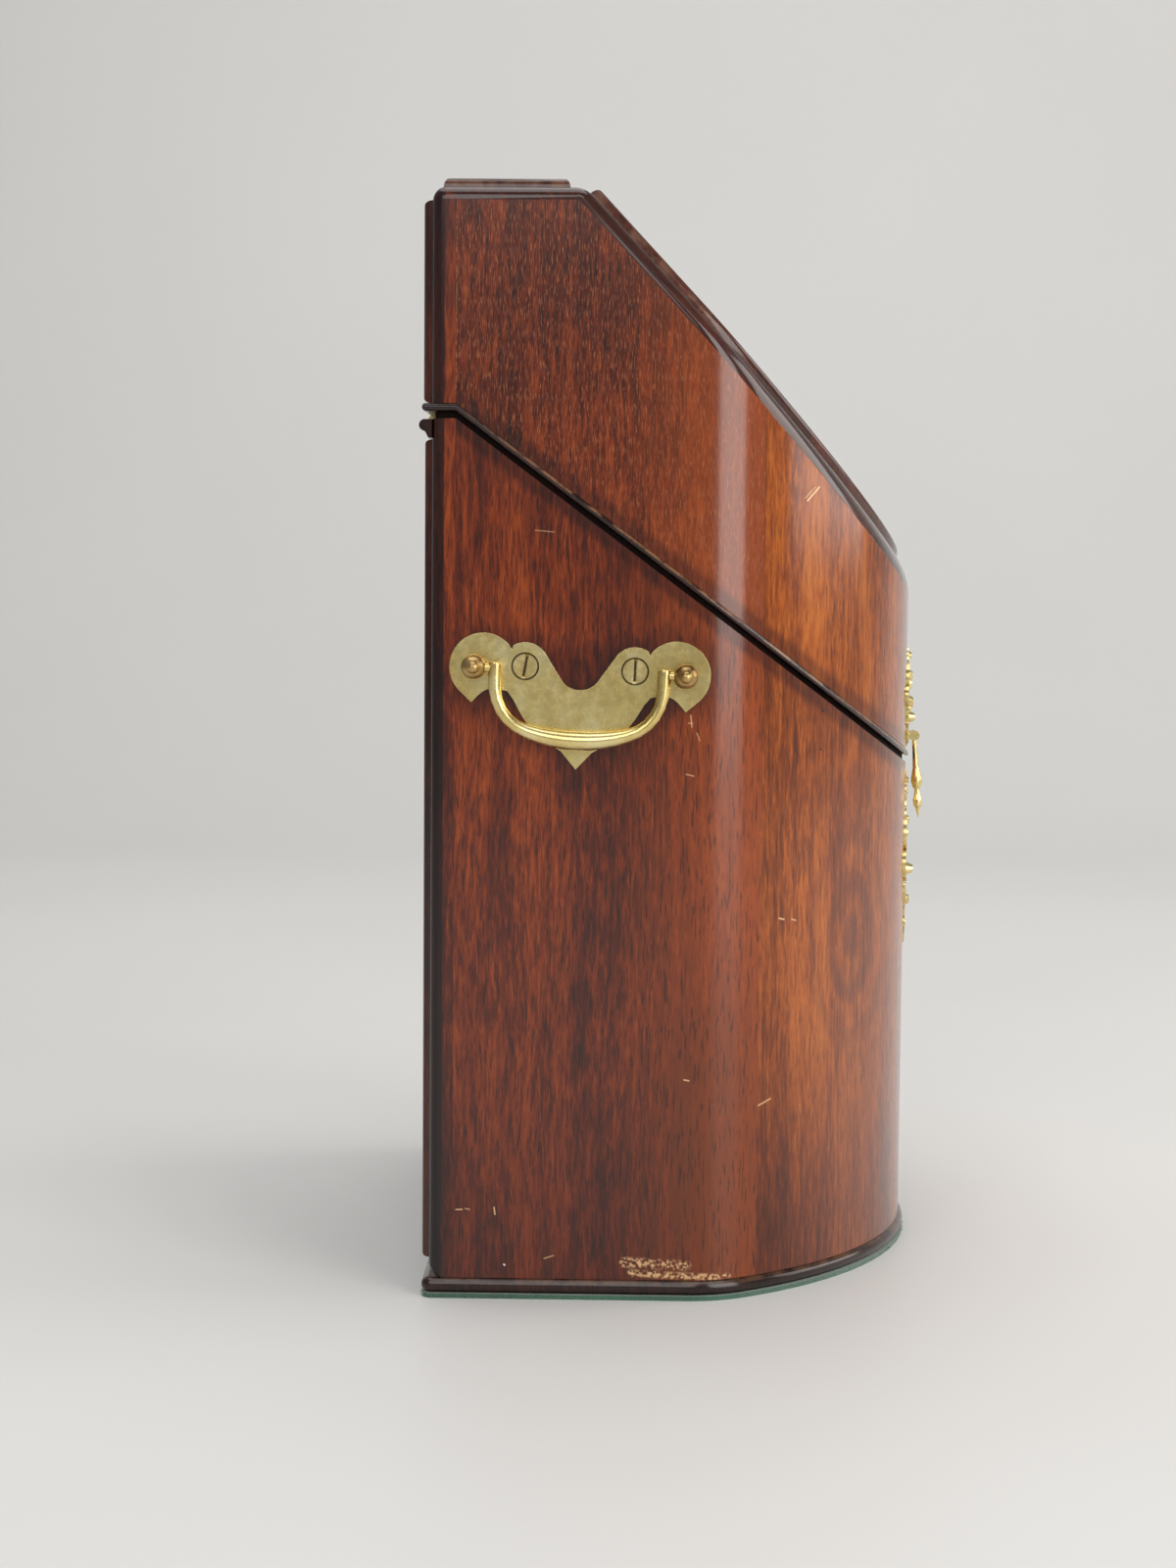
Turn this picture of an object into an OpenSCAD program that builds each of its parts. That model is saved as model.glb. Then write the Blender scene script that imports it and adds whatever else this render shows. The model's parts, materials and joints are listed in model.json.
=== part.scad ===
// Antique mahogany knife box: a bow-fronted case with a sloping hinged lid.
// Millimetres. X runs across, the bow front faces -Y, +Z is up.
// The origin is under the middle of the baize. "u" is the distance ahead of the case's back face.

/* [Case plan] */
// Width of the case over its two flat sides
case_w = 232.6; // [210:0.1:260]
// Length of each flat side, from the back face to the front corner curve
flat_l = 84; // [76:1:92]
// Outer radius of the two front corner curves
corner_r = 34; // [28:1:42]
// Angle that a corner curve turns through before the bow begins
corner_a = 32.4; // [28:0.1:38]
// Distance from the back face to the joint between a side and the bow front
joint_u = 107; // [96:1:112]
// Thickness of the side and front walls
wall = 8; // [7:0.5:10]
// Thickness of the back boards of the case and the lid
back_t = 7.8; // [7:0.1:9]

/* [Heights and slopes] */
// Thickness of the baize under the base
baize_t = 1.5; // [1:0.1:2.5]
// Height of the base moulding
foot_h = 5; // [4:0.1:7]
// Height of the case's back wall above the base moulding
case_back_h = 278.2; // [250:0.1:300]
// Height of the lid's back, from its bead's underside to the moulded boards
lid_back_h = 66.6; // [60:0.1:80]
// Gap between the case and the lid, measured upright
seam_gap = 2.2; // [2:0.1:3]
// Fall of the seam towards the front
seam_a = 36.65; // [34:0.05:38]
// Fall of the lid's sloping board
slope_a = 46.85; // [44:0.05:48]
// Distance from the back face to the start of the slope
top_l = 46.7; // [42:0.1:54]

/* [Mouldings and panels] */
// How far the base moulding stands out at the sides and front
foot_out = 1.6; // [1:0.1:3]
// How far the base moulding stands out at the back
foot_back_out = 2.4; // [1.5:0.1:4]
// Radius of the base moulding's back corners at the case
foot_corner_r = 2; // [1:0.1:4]
// Thickness of the moulded boards on the lid
edge_t = 4.3; // [3.5:0.1:5]
// How far the moulded edge runs in over a board
edge_in = 3.5; // [2.5:0.1:4]
// Depth of the moulded edge on the two back boards
edge_back = 4.3; // [3:0.1:5]
// Radius of the lid's back top corner and of the case's back bottom corner
corner_round = 4.3; // [3.5:0.1:6]
// Radius where the lid's top turns into its slope
crest_round = 8; // [6:0.5:10]
// Thickness of the raised panels on the lid
panel_t = 3.2; // [2:0.1:4]
// Thickness of the raised panel on the case's back
back_panel_t = 2.5; // [1.5:0.1:3]
// Distance of a raised panel's edge from the side face
panel_in = 5.4; // [5:0.1:9]
// Height of the bead round the lid, measured upright
bead_h = 2.6; // [2:0.1:3]
// How far the bead stands out at the sides and front
bead_out = 0.9; // [0.6:0.1:2.4]
// How far the bead stands out at the back
bead_back_out = 3; // [2.8:0.1:3.2]
// How far the stop rail stands out from the back board
rail_out = 4.1; // [3.8:0.1:4.4]
// Radius of the stop rail's round nose
rail_r = 1.85; // [1.6:0.05:2]
// Set-back of the dark strip on the rim from the outer faces
strip_in = 1.2; // [0.6:0.1:2]

/* [Interior] */
// Depth of the pierced board below the rim, measured upright
insert_drop = 18; // [14:0.5:24]
// Thickness of the pierced board
insert_t = 6; // [5:0.5:8]
// Thickness of the bottom board
bottom_t = 9; // [7:0.5:12]
// Thickness of the partitions
partition_t = 3; // [2.5:0.5:4]
// Thickness of the lining on the floor
lining_t = 0.8; // [0.5:0.1:1.5]
// Width of the bearers under the pierced board
bearer_w = 6; // [5:0.5:8]
// Depth of the bearers under the pierced board
bearer_h = 9; // [7:0.5:12]
// Width of a slot in the pierced board
slot_w = 22; // [18:0.5:24]
// Depth of a slot from front to back
slot_d = 9; // [8:0.5:11]
// Distance between the middles of slots in a row
slot_pitch = 32; // [30:0.5:34]
// Distance from the back face to the middle of the first row of slots
first_row_u = 32; // [28:0.5:34]
// Distance between the middles of the rows
row_pitch = 28; // [24:0.5:29]

/* [Hinges] */
// Length of each butt hinge
hinge_l = 38; // [32:1:44]
// Distance from the case's middle to the middle of a hinge
hinge_x = 68; // [55:1:75]
// Distance of the hinge axis behind the back face
hinge_out = 1.7; // [1.65:0.05:1.8]
// Radius of a hinge's knuckles
knuckle_r = 1.6; // [1.4:0.05:1.65]
// Radius of a hinge's pin
hinge_pin_r = 0.8; // [0.6:0.05:0.9]

/* [Side handles] */
// Height of a side handle's pivots above the base moulding
handle_h = 198.1; // [180:0.1:205]
// Distance from the back face to the middle of a handle
handle_u = 48; // [46:0.5:52]
// Distance from a handle's middle to each pivot post
post_x = 33.8; // [32:0.1:34.5]
// Tilt of a handle, its front end lower
handle_tilt = 2.2; // [0:0.1:3]
// Thickness of a handle's plate
plate_t = 1.2; // [0.8:0.1:1.6]
// Distance of a bail's pivot line from the side face
pivot_out = 6.3; // [5.8:0.1:7]
// Radius of a bail's turned-in ends
bail_pin_r = 1.5; // [1.2:0.05:1.7]
// Radius of a bail's arms
bail_arm_r = 2; // [1.8:0.1:2.2]
// Radius of a bail's grip at its middle
bail_grip_r = 3; // [2.6:0.1:3.2]
// Distance of a bail's arms from its middle
bail_arm_x = 27; // [26:0.1:27.5]
// Drop of a bail's grip below its pivots
bail_drop = 21.6; // [20:0.1:26]
// Centreline radius of a bail's lower corners
bail_bend_r = 13.5; // [9:0.5:15]
// Radius of a post's ball
ball_r = 4; // [3.6:0.1:4.3]
// Radius of a handle screw's head
screw_head_r = 4.2; // [3.8:0.1:4.6]

/* [Front brass] */
// Height of the lid's pull plate
pull_plate_h = 36; // [33:0.5:38]
// Height of the keyhole plate
key_plate_h = 63; // [58:0.5:68]
// Thickness of the front brass plates
front_plate_t = 1; // [0.8:0.1:1.4]
// Length of the drop pull below its pivot
drop_l = 30; // [26:0.5:34]
// Height of the drop pull's pivot above the lower end of the pull plate
pull_pivot_up = 4; // [3.4:0.1:5]
// Distance of the drop pull's pivot from the lid's front face
pull_pivot_out = 3.6; // [3.5:0.1:4]

/* [Lock] */
// Width of the lock case
lock_w = 40; // [36:1:46]
// Height of the lock case
lock_h = 46; // [42:1:50]
// Thickness of the lock case
lock_t = 12.5; // [12:0.5:14]
// Depth that the lock is let into the front wall
lock_let_in = 3; // [2:0.5:3.5]
// Travel of the lock's bolt
bolt_travel = 7; // [6.5:0.1:7.5]

/* [Hidden] */
$fn = 96;

// plan
front_r = (case_w / 2 - corner_r * (1 - cos(corner_a))) / cos(corner_a); // radius of the bow
front_u = flat_l + (corner_r - front_r) * sin(corner_a); // middle of the bow's arc
depth = front_u + front_r; // case from back face to the middle of the bow
back_y = depth / 2;
over = 30; // cutting solids reach this far past what they cut
tiny = 0.02; // thickness of the slices that a rounded board is drawn over
arc_steps = 6; // flats on a corner curve or a rounded edge
bow_steps = 18; // flats on half of the bow

// heights
foot_z = baize_t;
case_z = foot_z + foot_h;
rim_z = case_z + case_back_h; // top of the case's back wall
lid_z = rim_z + seam_gap; // underside of the lid's bead at the back
top_z = lid_z + lid_back_h; // underside of the moulded top board
seam_t = tan(seam_a);
slope_t = tan(slope_a);
function rim_at(u) = rim_z - max(0, u - back_t) * seam_t;
function slope_at(u) = top_z - (u - top_l) * slope_t;
function y_at(u) = back_y - u;

// fits
lid_clear = 0.1; // lid above the strip that it rests on
turn_clear = 0.05; // round a pin that turns
screw_clear = 0.05; // round a screw
part_clear = 0.3; // between pieces that move past each other

// outline points
function back_corner(o, b, r) = r == 0 ? [[case_w / 2 + o, -b]] :
    [for (i = [0:arc_steps]) let (a = -90 + 90 * i / arc_steps, k = max(r + o, 0.5))
        [case_w / 2 + o - k * (1 - cos(a)), k * (1 + sin(a)) - b]];
function half_outline(o, b, r, crease) = concat(
    back_corner(o, b, r),
    crease > 0 ? [[case_w / 2 + o, crease]] : [],
    [for (i = [0:arc_steps]) let (a = corner_a * i / arc_steps)
        [case_w / 2 - corner_r + (corner_r + o) * cos(a), flat_l + (corner_r + o) * sin(a)]],
    [for (i = [1:bow_steps]) let (a = corner_a + (90 - corner_a) * i / bow_steps)
        [(front_r + o) * cos(a), front_u + (front_r + o) * sin(a)]]);
function outline(o, b, r = 0, crease = 0) =
    let (h = half_outline(o, b, r, crease), n = len(h))
    concat(h, [for (i = [n - 2:-1:0]) [-h[i][0], h[i][1]]]);

// A ring whose section is a list of [outwards, outwards at the back, up], laid along the seam or flat
module ring(section, base, fall, r = 0, crease = 0) {
    rows = [for (s = section) [for (p = outline(s[0], s[1], r, crease))
        [p[0], y_at(p[1]), base + s[2] - max(0, p[1] - crease) * fall]]];
    m = len(rows);
    n = len(rows[0]);
    polyhedron(points = [for (row = rows) each row], faces = [for (i = [0:m - 1], j = [0:n - 1])
        let (a = i * n + j, b = i * n + (j + 1) % n, c = ((i + 1) % m) * n + j,
            d = ((i + 1) % m) * n + (j + 1) % n)
        each [[a, b, d], [a, d, c]]]);
}

// The plan of the case, drawn out by o at the sides and front and by b at the back:
// a core with flats at the front corners, and the bow as the part of a circle between its two ends
module plan(o, b) {
    r = front_r + o;
    half = concat([[case_w / 2 + o, -b]], [for (i = [0:arc_steps]) let (a = corner_a * i / arc_steps)
        [case_w / 2 - corner_r + (corner_r + o) * cos(a), flat_l + (corner_r + o) * sin(a)]]);
    polygon([for (p = concat([for (q = half) [-q[0], q[1]]], [for (i = [arc_steps + 1:-1:0]) half[i]]))
        [p[0], y_at(p[1])]]);
    intersection() {
        translate([0, y_at(front_u)]) rotate([0, 0, 90]) circle(r);
        polygon([for (k = [[3, corner_a], [0.9, corner_a], [0.9, 180 - corner_a], [3, 180 - corner_a]])
            [k[0] * r * cos(k[1]), y_at(front_u + k[0] * r * sin(k[1]))]]);
    }
}

// A shape drawn from the side, its points [u, z], and drawn across the case
module across(points, w = case_w + 2 * over) {
    translate([-w / 2, 0, 0]) rotate([90, 0, 90]) linear_extrude(w)
        polygon([for (p = points) [y_at(p[0]), p[1]]]);
}

// Everything under the rim's line when it is raised by dz
module under_rim(dz) {
    end_u = depth + over;
    across([[-over, -over], [-over, rim_z + dz], [back_t, rim_z + dz],
        [end_u, rim_at(end_u) + dz], [end_u, -over]]);
}

// The band between two heights over the rim's line
module rim_band(low, high) {
    end_u = depth + over;
    across([[-over, rim_z + low], [back_t, rim_z + low], [end_u, rim_at(end_u) + low],
        [end_u, rim_at(end_u) + high], [back_t, rim_z + high], [-over, rim_z + high]]);
}

// Side view of the lid's outside, drawn in by d from its moulded back, top and slope
function lid_profile(d, round_back, round_crest) =
    let (back_u = edge_back - d * edge_back / edge_t,
        z = top_z + d, s = d / cos(slope_a),
        crest_u = top_l + (s - d) / slope_t,
        turn = tan(slope_a / 2))
    concat([[back_u, lid_z]],
        [for (i = [0:arc_steps]) let (a = 90 * i / arc_steps)
            [back_u + round_back * (1 - cos(a)), z - round_back * (1 - sin(a))]],
        [for (i = [0:arc_steps]) let (a = slope_a * i / arc_steps)
            [crest_u - round_crest * turn + round_crest * sin(a), z - round_crest * (1 - cos(a))]],
        [[depth + over, slope_at(depth + over) + s], [depth + over, lid_z - case_w],
            [back_u, lid_z - case_w]]);

// A moulded board of the lid: slices of the rounded outside, kept to the part that p outlines
module moulded(p) {
    hull() for (i = [0:arc_steps]) let (a = 90 * i / arc_steps, f = sin(a)) intersection() {
        linear_extrude(top_z + over) plan(-edge_in * (1 - cos(a)), 0, $fn = 64);
        across(lid_profile(edge_t * f, corner_round * f, crest_round * f));
        across(p);
    }
}

// A raised panel of thickness t with a rounded edge: flat slices of the shape in children
module raised(t) {
    hull() for (i = [0:4]) let (a = 90 * i / 4)
        translate([0, 0, (t - tiny) * sin(a)]) linear_extrude(tiny)
            offset(delta = -t * 0.6 * (1 - cos(a))) children();
}

// case

module baize_pad() {
    color("darkgreen") linear_extrude(baize_t)
        polygon([for (p = outline(foot_out - 0.3, foot_back_out - 0.3, foot_corner_r)) [p[0], y_at(p[1])]]);
}

module base_moulding() {
    nose = foot_h / 2;
    section = concat([[-wall, -back_t, 0]],
        [for (i = [0:arc_steps]) let (a = -90 + 180 * i / arc_steps)
            let (d = nose * (1 - cos(a))) [foot_out - d, foot_back_out - d, nose + nose * sin(a)]],
        [[-wall, -back_t, foot_h]]);
    color([0.13, 0.07, 0.05]) ring(section, foot_z, 0, foot_corner_r);
}

module bottom_board() {
    color("burlywood") translate([0, 0, foot_z]) linear_extrude(bottom_t)
        plan(-wall - 0.1, -back_t - 0.1);
}

// Plan of the wall between two distances from the back: s = -1 left, 1 right, 0 both
module wall_plan(from_u, to_u, s) {
    intersection() {
        difference() {
            plan(0, 0);
            plan(-wall, -back_t);
        }
        translate([s > 0 ? 0 : -case_w, y_at(to_u)]) square([(s == 0 ? 2 : 1) * case_w, to_u - from_u]);
    }
}

module case_side(s) {
    difference() {
        intersection() {
            translate([0, 0, case_z]) linear_extrude(rim_z) wall_plan(back_t, joint_u, s);
            under_rim(0);
        }
        handle_place(s) {
            post_holes();
            nut_holes();
            screw_holes();
        }
    }
}

module bow_front() {
    color([0.5, 0.16, 0.06]) difference() {
        intersection() {
            translate([0, 0, case_z]) linear_extrude(rim_z) wall_plan(joint_u, depth + over, 0);
            under_rim(0);
        }
        lock_room(0);
        lock_screw_holes();
        keyhole();
        pin_holes(key_z, key_pins);
    }
}

module back_board() {
    color([0.42, 0.14, 0.07]) difference() {
        hull() for (i = [0:arc_steps]) let (a = 90 * i / arc_steps, f = sin(a), r = corner_round * f)
            across(concat([[back_t, rim_z], [edge_back * (1 - f), rim_z]],
                [for (k = [0:arc_steps]) let (b = 90 * k / arc_steps)
                    [edge_back * (1 - f) + r * (1 - cos(b)),
                        case_z + r * (1 - sin(b))]],
                [[back_t, case_z]]), case_w - 2 * edge_in * (1 - cos(a)));
        hinge_screw_holes(rim_z, 0);
    }
}

module back_panel() {
    low = case_z + corner_round + 1;
    color([0.32, 0.1, 0.05]) translate([0, back_y, low]) rotate([90, 0, 180]) raised(back_panel_t)
        translate([-case_w / 2 + panel_in, 0]) square([case_w - 2 * panel_in, rail_low - 0.3 - low]);
}

rail_top = rim_z - 0.2;
rail_low = rail_top - 3.2 * rail_r;

module stop_rail() {
    nose_u = -rail_out + rail_r;
    nose_z = rail_top - rail_r;
    w = case_w - 3;
    color([0.13, 0.07, 0.05]) difference() {
        union() {
            across([[0, rail_low], [0, rail_top], [nose_u, rail_top],
                [nose_u, rail_top - 2 * rail_r], [nose_u / 2, rail_low]], w);
            translate([-w / 2, y_at(nose_u), nose_z]) rotate([0, 90, 0]) cylinder(r = rail_r, h = w);
        }
        hinge_rooms();
    }
}

module rim_strip() {
    color([0.06, 0.04, 0.03]) difference() {
        intersection() {
            linear_extrude(rim_z + over) difference() {
                plan(-strip_in, -strip_in);
                plan(-wall, -back_t);
            }
            rim_band(0, seam_gap - lid_clear);
        }
        for (s = [-1, 1]) translate([s * hinge_x, 0, rim_z])
            cube([hinge_l + 2 * part_clear, 3 * depth, 3 * seam_gap], center = true);
        at_staple() cube([2 * (staple_w / 2 + part_clear), 60, 12], center = true);
    }
}

// interior

// each row as [distance from the back, slots]
rows = [for (i = [0:3]) [first_row_u + i * row_pitch, i < 3 ? 6 : 4]];
partition_u = [for (i = [0:2]) first_row_u + (i + 0.5) * row_pitch];
insert_rise = insert_t / cos(seam_a); // thickness measured upright
insert_low = -insert_drop - insert_rise; // underside, from the rim's line
floor_z = foot_z + bottom_t;

module insert_board() {
    color([0.45, 0.2, 0.1]) difference() {
        intersection() {
            linear_extrude(rim_z + over) plan(-wall - 0.1, -back_t - 0.1);
            rim_band(insert_low, -insert_drop);
        }
        for (row = rows, i = [0:row[1] - 1])
            translate([(i - (row[1] - 1) / 2) * slot_pitch, y_at(row[0]), rim_z / 2])
                cube([slot_w, slot_d, 2 * rim_z], center = true);
        lock_room(part_clear);
    }
}

module insert_bearers() {
    color("burlywood") for (s = [-1, 1]) intersection() {
        translate([s * (case_w / 2 - wall - bearer_w / 2), y_at(flat_l / 2), rim_z / 2])
            cube([bearer_w, flat_l - 2 * back_t, 2 * rim_z], center = true);
        rim_band(insert_low - bearer_h, insert_low);
    }
}

module floor_lining() {
    color("darkgreen") translate([0, 0, floor_z]) linear_extrude(lining_t)
        plan(-wall - 0.1, -back_t - 0.1);
}

module partition(u) {
    color("burlywood") difference() {
        intersection() {
            translate([0, 0, floor_z + lining_t]) linear_extrude(rim_z) plan(-wall - 0.1, -back_t - 0.1);
            translate([0, y_at(u), rim_z / 2]) cube([2 * case_w, partition_t, 2 * rim_z], center = true);
            under_rim(insert_low);
        }
        for (s = [-1, 1]) intersection() {
            translate([s * case_w / 2, 0, 0]) cube([2 * (wall + bearer_w + 0.2), 3 * depth, 3 * rim_z],
                center = true);
            rim_band(insert_low - bearer_h - 0.1, 0);
            translate([0, y_at(flat_l / 2), 0]) cube([2 * case_w, flat_l, 3 * rim_z], center = true);
        }
    }
}

// lock, set behind the middle of the front wall

lock_sheet = 1.5; // thickness of the lock case's sheet
lock_back_u = depth - wall + lock_let_in; // the lock's front face
lock_low = rim_at(lock_back_u) - 1 - lock_h;
key_z = rim_at(depth) - 3.5 - key_plate_h / 2; // middle of the keyhole plate and its keyhole
staple_u = lock_back_u - 1.65; // middle of the staple's lug, on the bead's underside
staple_w = 24;
staple_z = -7.5; // eye of the staple and the bolt, below the bead
lug_t = 2.5;
bolt_end = -lug_t / 2 - 1; // the bolt's end when it is drawn back

module lock_room(c) {
    translate([-lock_w / 2 - c, y_at(lock_back_u), lock_low - c])
        cube([lock_w + 2 * c, lock_t + c, 2 * lock_h]);
}

// A frame on the underside of the lid's bead, its z square to the seam
module at_staple() {
    translate([0, y_at(staple_u), rim_at(staple_u) + seam_gap]) rotate([seam_a, 0, 0]) children();
}

// The four screws run through the cover, the case and into the front wall
module at_lock_screws() {
    for (s = [-1, 1], z = [5, lock_h - 14])
        translate([s * (lock_w / 2 - 5), y_at(lock_back_u - lock_t), lock_low + z]) rotate([90, 0, 0])
            children();
}

module lock_screw_holes() {
    at_lock_screws() cylinder(r = 1.2 + screw_clear, h = lock_t + 3.7);
}

module keyhole_shape(c) {
    circle(2.2 + c);
    translate([-1.1 - c, -7 - c]) square([2.2 + 2 * c, 7 + c]);
}

module keyhole() {
    translate([0, y_at(depth - 2 * wall), key_z]) rotate([90, 0, 0])
        linear_extrude(3 * wall) keyhole_shape(0.3);
}

module lock_body(c) {
    intersection() {
        translate([-lock_w / 2 + c, y_at(lock_back_u - c), lock_low + c])
            cube([lock_w - 2 * c, lock_t, 2 * lock_h]);
        under_rim(-1 - c / cos(seam_a));
    }
}

module lock_case() {
    front_y = y_at(lock_back_u - lock_t + lock_sheet);
    color("darkgoldenrod") difference() {
        intersection() {
            union() {
                difference() {
                    lock_body(0);
                    lock_body(lock_sheet);
                }
                intersection() {
                    lock_body(0);
                    union() {
                        at_lock_screws() cylinder(r = 2.5, h = lock_t);
                        at_staple() translate([-lock_w / 2, -8, staple_z - 4.5])
                            cube([lock_w / 2 + bolt_end, 12, 2]);
                    }
                }
            }
            translate([-lock_w, front_y - 2 * lock_t, 0]) cube([2 * lock_w, 2 * lock_t, 2 * rim_z]);
        }
        lock_screw_holes();
        at_staple() translate([-lug_t / 2 - 0.8, -3.2, -8]) cube([lug_t + 1.6, 8, 8]);
        keyhole();
    }
}

module lock_cover() {
    color("goldenrod") difference() {
        intersection() {
            lock_body(0);
            translate([-lock_w, y_at(lock_back_u - lock_t + lock_sheet), 0])
                cube([2 * lock_w, lock_sheet, 2 * rim_z]);
        }
        lock_screw_holes();
        at_lock_screws() translate([0, 0, -0.01])
            cylinder(r1 = 2.4 + screw_clear, r2 = 1.2 + screw_clear, h = 1.2);
    }
}

module lock_screws() {
    color("gold") at_lock_screws() difference() {
        union() {
            cylinder(r1 = 2.4, r2 = 1.2, h = 1.2);
            cylinder(r = 1.2, h = lock_t + 3.5);
        }
        translate([-3, -0.3, -0.01]) cube([6, 0.6, 0.6]);
    }
}

module lock_bolt() {
    block_end = bolt_end - bolt_travel + 0.3;
    color("silver") at_staple() {
        translate([bolt_end - 7, 0, staple_z]) rotate([0, 90, 0]) cylinder(r = 1, h = 7);
        translate([-16.6, -2.4, staple_z - 2.45]) cube([16.6 + block_end, 4.8, 4.9]);
    }
}

// keyhole plate and pull plate, bent round the bow

key_pins = [[0, 24], [0, -24], [-9, 9.5], [9, 9.5]]; // [angle's width, height] from a plate's middle
pull_pins = [[0, 11.5], [-10.5, -4], [10.5, -4]];
pull_mid = rim_at(depth) + seam_gap + bead_h + 0.5 + pull_plate_h / 2;
pivot_z = pull_mid - pull_plate_h / 2 + pull_pivot_up;
pin_r = 0.8;
pin_depth = wall - lock_let_in - 1.2; // plate pins stop short of the lock
post_depth = (pull_pivot_up - 1.4) / seam_t; // the drop pull's post stops short of the bead

// A frame on the bow's face, x millimetres round it, its z outwards
module on_bow(x, z) {
    translate([0, y_at(front_u), z]) rotate([0, 0, x * 180 / (PI * front_r)])
        translate([0, -front_r, 0]) rotate([90, 0, 0]) children();
}

module pin_holes(z, pins) {
    for (p = pins) on_bow(p[0], z + p[1]) translate([0, 0, -pin_depth - 0.2])
        cylinder(r = pin_r + screw_clear, h = 20);
}

module plate_pins(z, pins) {
    color("gold") for (p = pins) on_bow(p[0], z + p[1]) {
        translate([0, 0, -pin_depth]) cylinder(r = pin_r, h = pin_depth + front_plate_t);
        translate([0, 0, front_plate_t]) cylinder(r1 = 1.5, r2 = 1, h = 0.6);
    }
}

// The outline in children laid on the bow at z, with domes [x, up, radius, rise over the plate]
module bow_plate(z, domes) {
    intersection() {
        translate([0, y_at(front_u), z]) rotate([90, 0, 0]) linear_extrude(2 * front_r) children();
        difference() {
            translate([0, y_at(front_u), z - 60]) cylinder(r = front_r + front_plate_t, h = 120);
            translate([0, y_at(front_u), z - 61]) cylinder(r = front_r, h = 122);
        }
    }
    for (d = domes) on_bow(d[0], z + d[1]) translate([0, 0, front_plate_t / 2])
        cylinder(r1 = d[2], r2 = d[2] * 0.55, h = d[3] + front_plate_t / 2);
}

module mirrored_circle(x, y, r) {
    for (s = [-1, 1]) translate([s * x, y]) circle(r);
}

module key_outline() {
    f = key_plate_h / 63;
    difference() {
        union() {
            circle(11);
            mirrored_circle(10, 9, 6.5);
            mirrored_circle(9.5, -10, 6);
            mirrored_circle(15.5, -1, 5);
            for (s = [-1, 1]) scale([1, s]) {
                polygon([[-7, 8], [-3.2, 20], [-2.2, 30 * f], [0, 31.5 * f], [2.2, 30 * f],
                    [3.2, 20], [7, 8]]);
                translate([0, 24]) circle(4.4);
                translate([0, 15]) circle(5.2);
            }
        }
        mirrored_circle(18.2, 6.3, 2);
        mirrored_circle(16.6, -8, 1.8);
        mirrored_circle(6.4, 18.6, 2);
    }
}

module pull_outline() {
    f = pull_plate_h / 36;
    difference() {
        union() {
            translate([0, -11 * f]) circle(7 * f);
            circle(10);
            mirrored_circle(11, -4, 6);
            mirrored_circle(9.5, 7, 5.5);
            mirrored_circle(18, 1, 3.6);
            translate([0, 10.5]) circle(5);
            translate([0, 15 * f]) circle(3 * f);
        }
        mirrored_circle(16.4, -8.2, 2);
        mirrored_circle(14.6, 13, 2.6);
    }
}

module keyhole_plate() {
    color([0.79, 0.66, 0.35]) difference() {
        bow_plate(key_z, [[-12.5, -3, 2.6, 2.2], [12.5, -3, 2.6, 2.2], [0, 13.5, 2.4, 1.2],
            [0, -15.5, 2.6, 1.6], [0, 28, 1.8, 0.8]]) key_outline();
        keyhole();
        pin_holes(key_z, key_pins);
    }
}

module pull_plate() {
    color([0.79, 0.66, 0.35]) difference() {
        bow_plate(pull_mid, [[0, 15, 1.8, 1.2], [-7, 8, 2.4, 1.2], [7, 8, 2.4, 1.2],
            [0, 4.5, 3, 1.4], [0, -2, 3.2, 2], [-6, -7, 2.4, 2.2], [6, -7, 2.4, 2.2]]) pull_outline();
        pin_holes(pull_mid, pull_pins);
        on_bow(0, pivot_z) translate([0, 0, -1]) cylinder(r = 1.5 + screw_clear, h = 10);
    }
}

// The fork that the drop pull hangs in: its pin lies across, pull_pivot_out in front of the lid
module pull_post() {
    eye_gap = 1 + part_clear;
    base = front_plate_t + 0.5;
    color([0.72, 0.58, 0.28]) on_bow(0, pivot_z) {
        translate([0, 0, -post_depth]) cylinder(r = 1.5, h = post_depth + base - 0.1);
        translate([0, 0, front_plate_t]) cylinder(r = 3, h = 0.5);
        for (s = [-1, 1]) translate([s * (eye_gap + 0.6), 0, 0]) {
            translate([-0.6, -1.4, front_plate_t + 0.2])
                cube([1.2, 2.8, pull_pivot_out - front_plate_t - 0.2]);
            translate([-0.6, 0, pull_pivot_out]) rotate([0, 90, 0]) cylinder(r = 1.8, h = 1.2);
        }
        translate([-eye_gap - 0.6, 0, pull_pivot_out]) rotate([0, 90, 0])
            cylinder(r = 0.6, h = 2 * eye_gap + 1.2);
    }
}

module drop_pull() {
    color([0.79, 0.66, 0.35]) on_bow(0, pivot_z) translate([0, 0, pull_pivot_out]) difference() {
        union() {
            translate([-1, 0, 0]) rotate([0, 90, 0]) cylinder(r = 1.7, h = 2);
            rotate([86, 0, 0]) rotate_extrude($fn = 48) polygon([[0, 1.2], [0.8, 1.2], [0.9, 7],
                [1.1, 0.4 * drop_l], [1.8, 0.5 * drop_l], [2, 0.56 * drop_l], [1.6, 0.62 * drop_l],
                [0.9, 0.66 * drop_l], [1.1, 0.72 * drop_l], [1.7, 0.79 * drop_l],
                [1.5, 0.85 * drop_l], [0.8, 0.89 * drop_l], [0.15, drop_l], [0, drop_l]]);
        }
        translate([-2, 0, 0]) rotate([0, 90, 0]) cylinder(r = 0.6 + turn_clear, h = 4);
    }
}

// lid

module lid_wall(from_u, to_u, s) {
    intersection() {
        linear_extrude(top_z + over) wall_plan(from_u, to_u, s);
        difference() {
            across([[-over, 0], [-over, top_z], [top_l, top_z],
                [depth + over, slope_at(depth + over)], [depth + over, 0]]);
            under_rim(seam_gap + bead_h);
        }
    }
}

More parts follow.
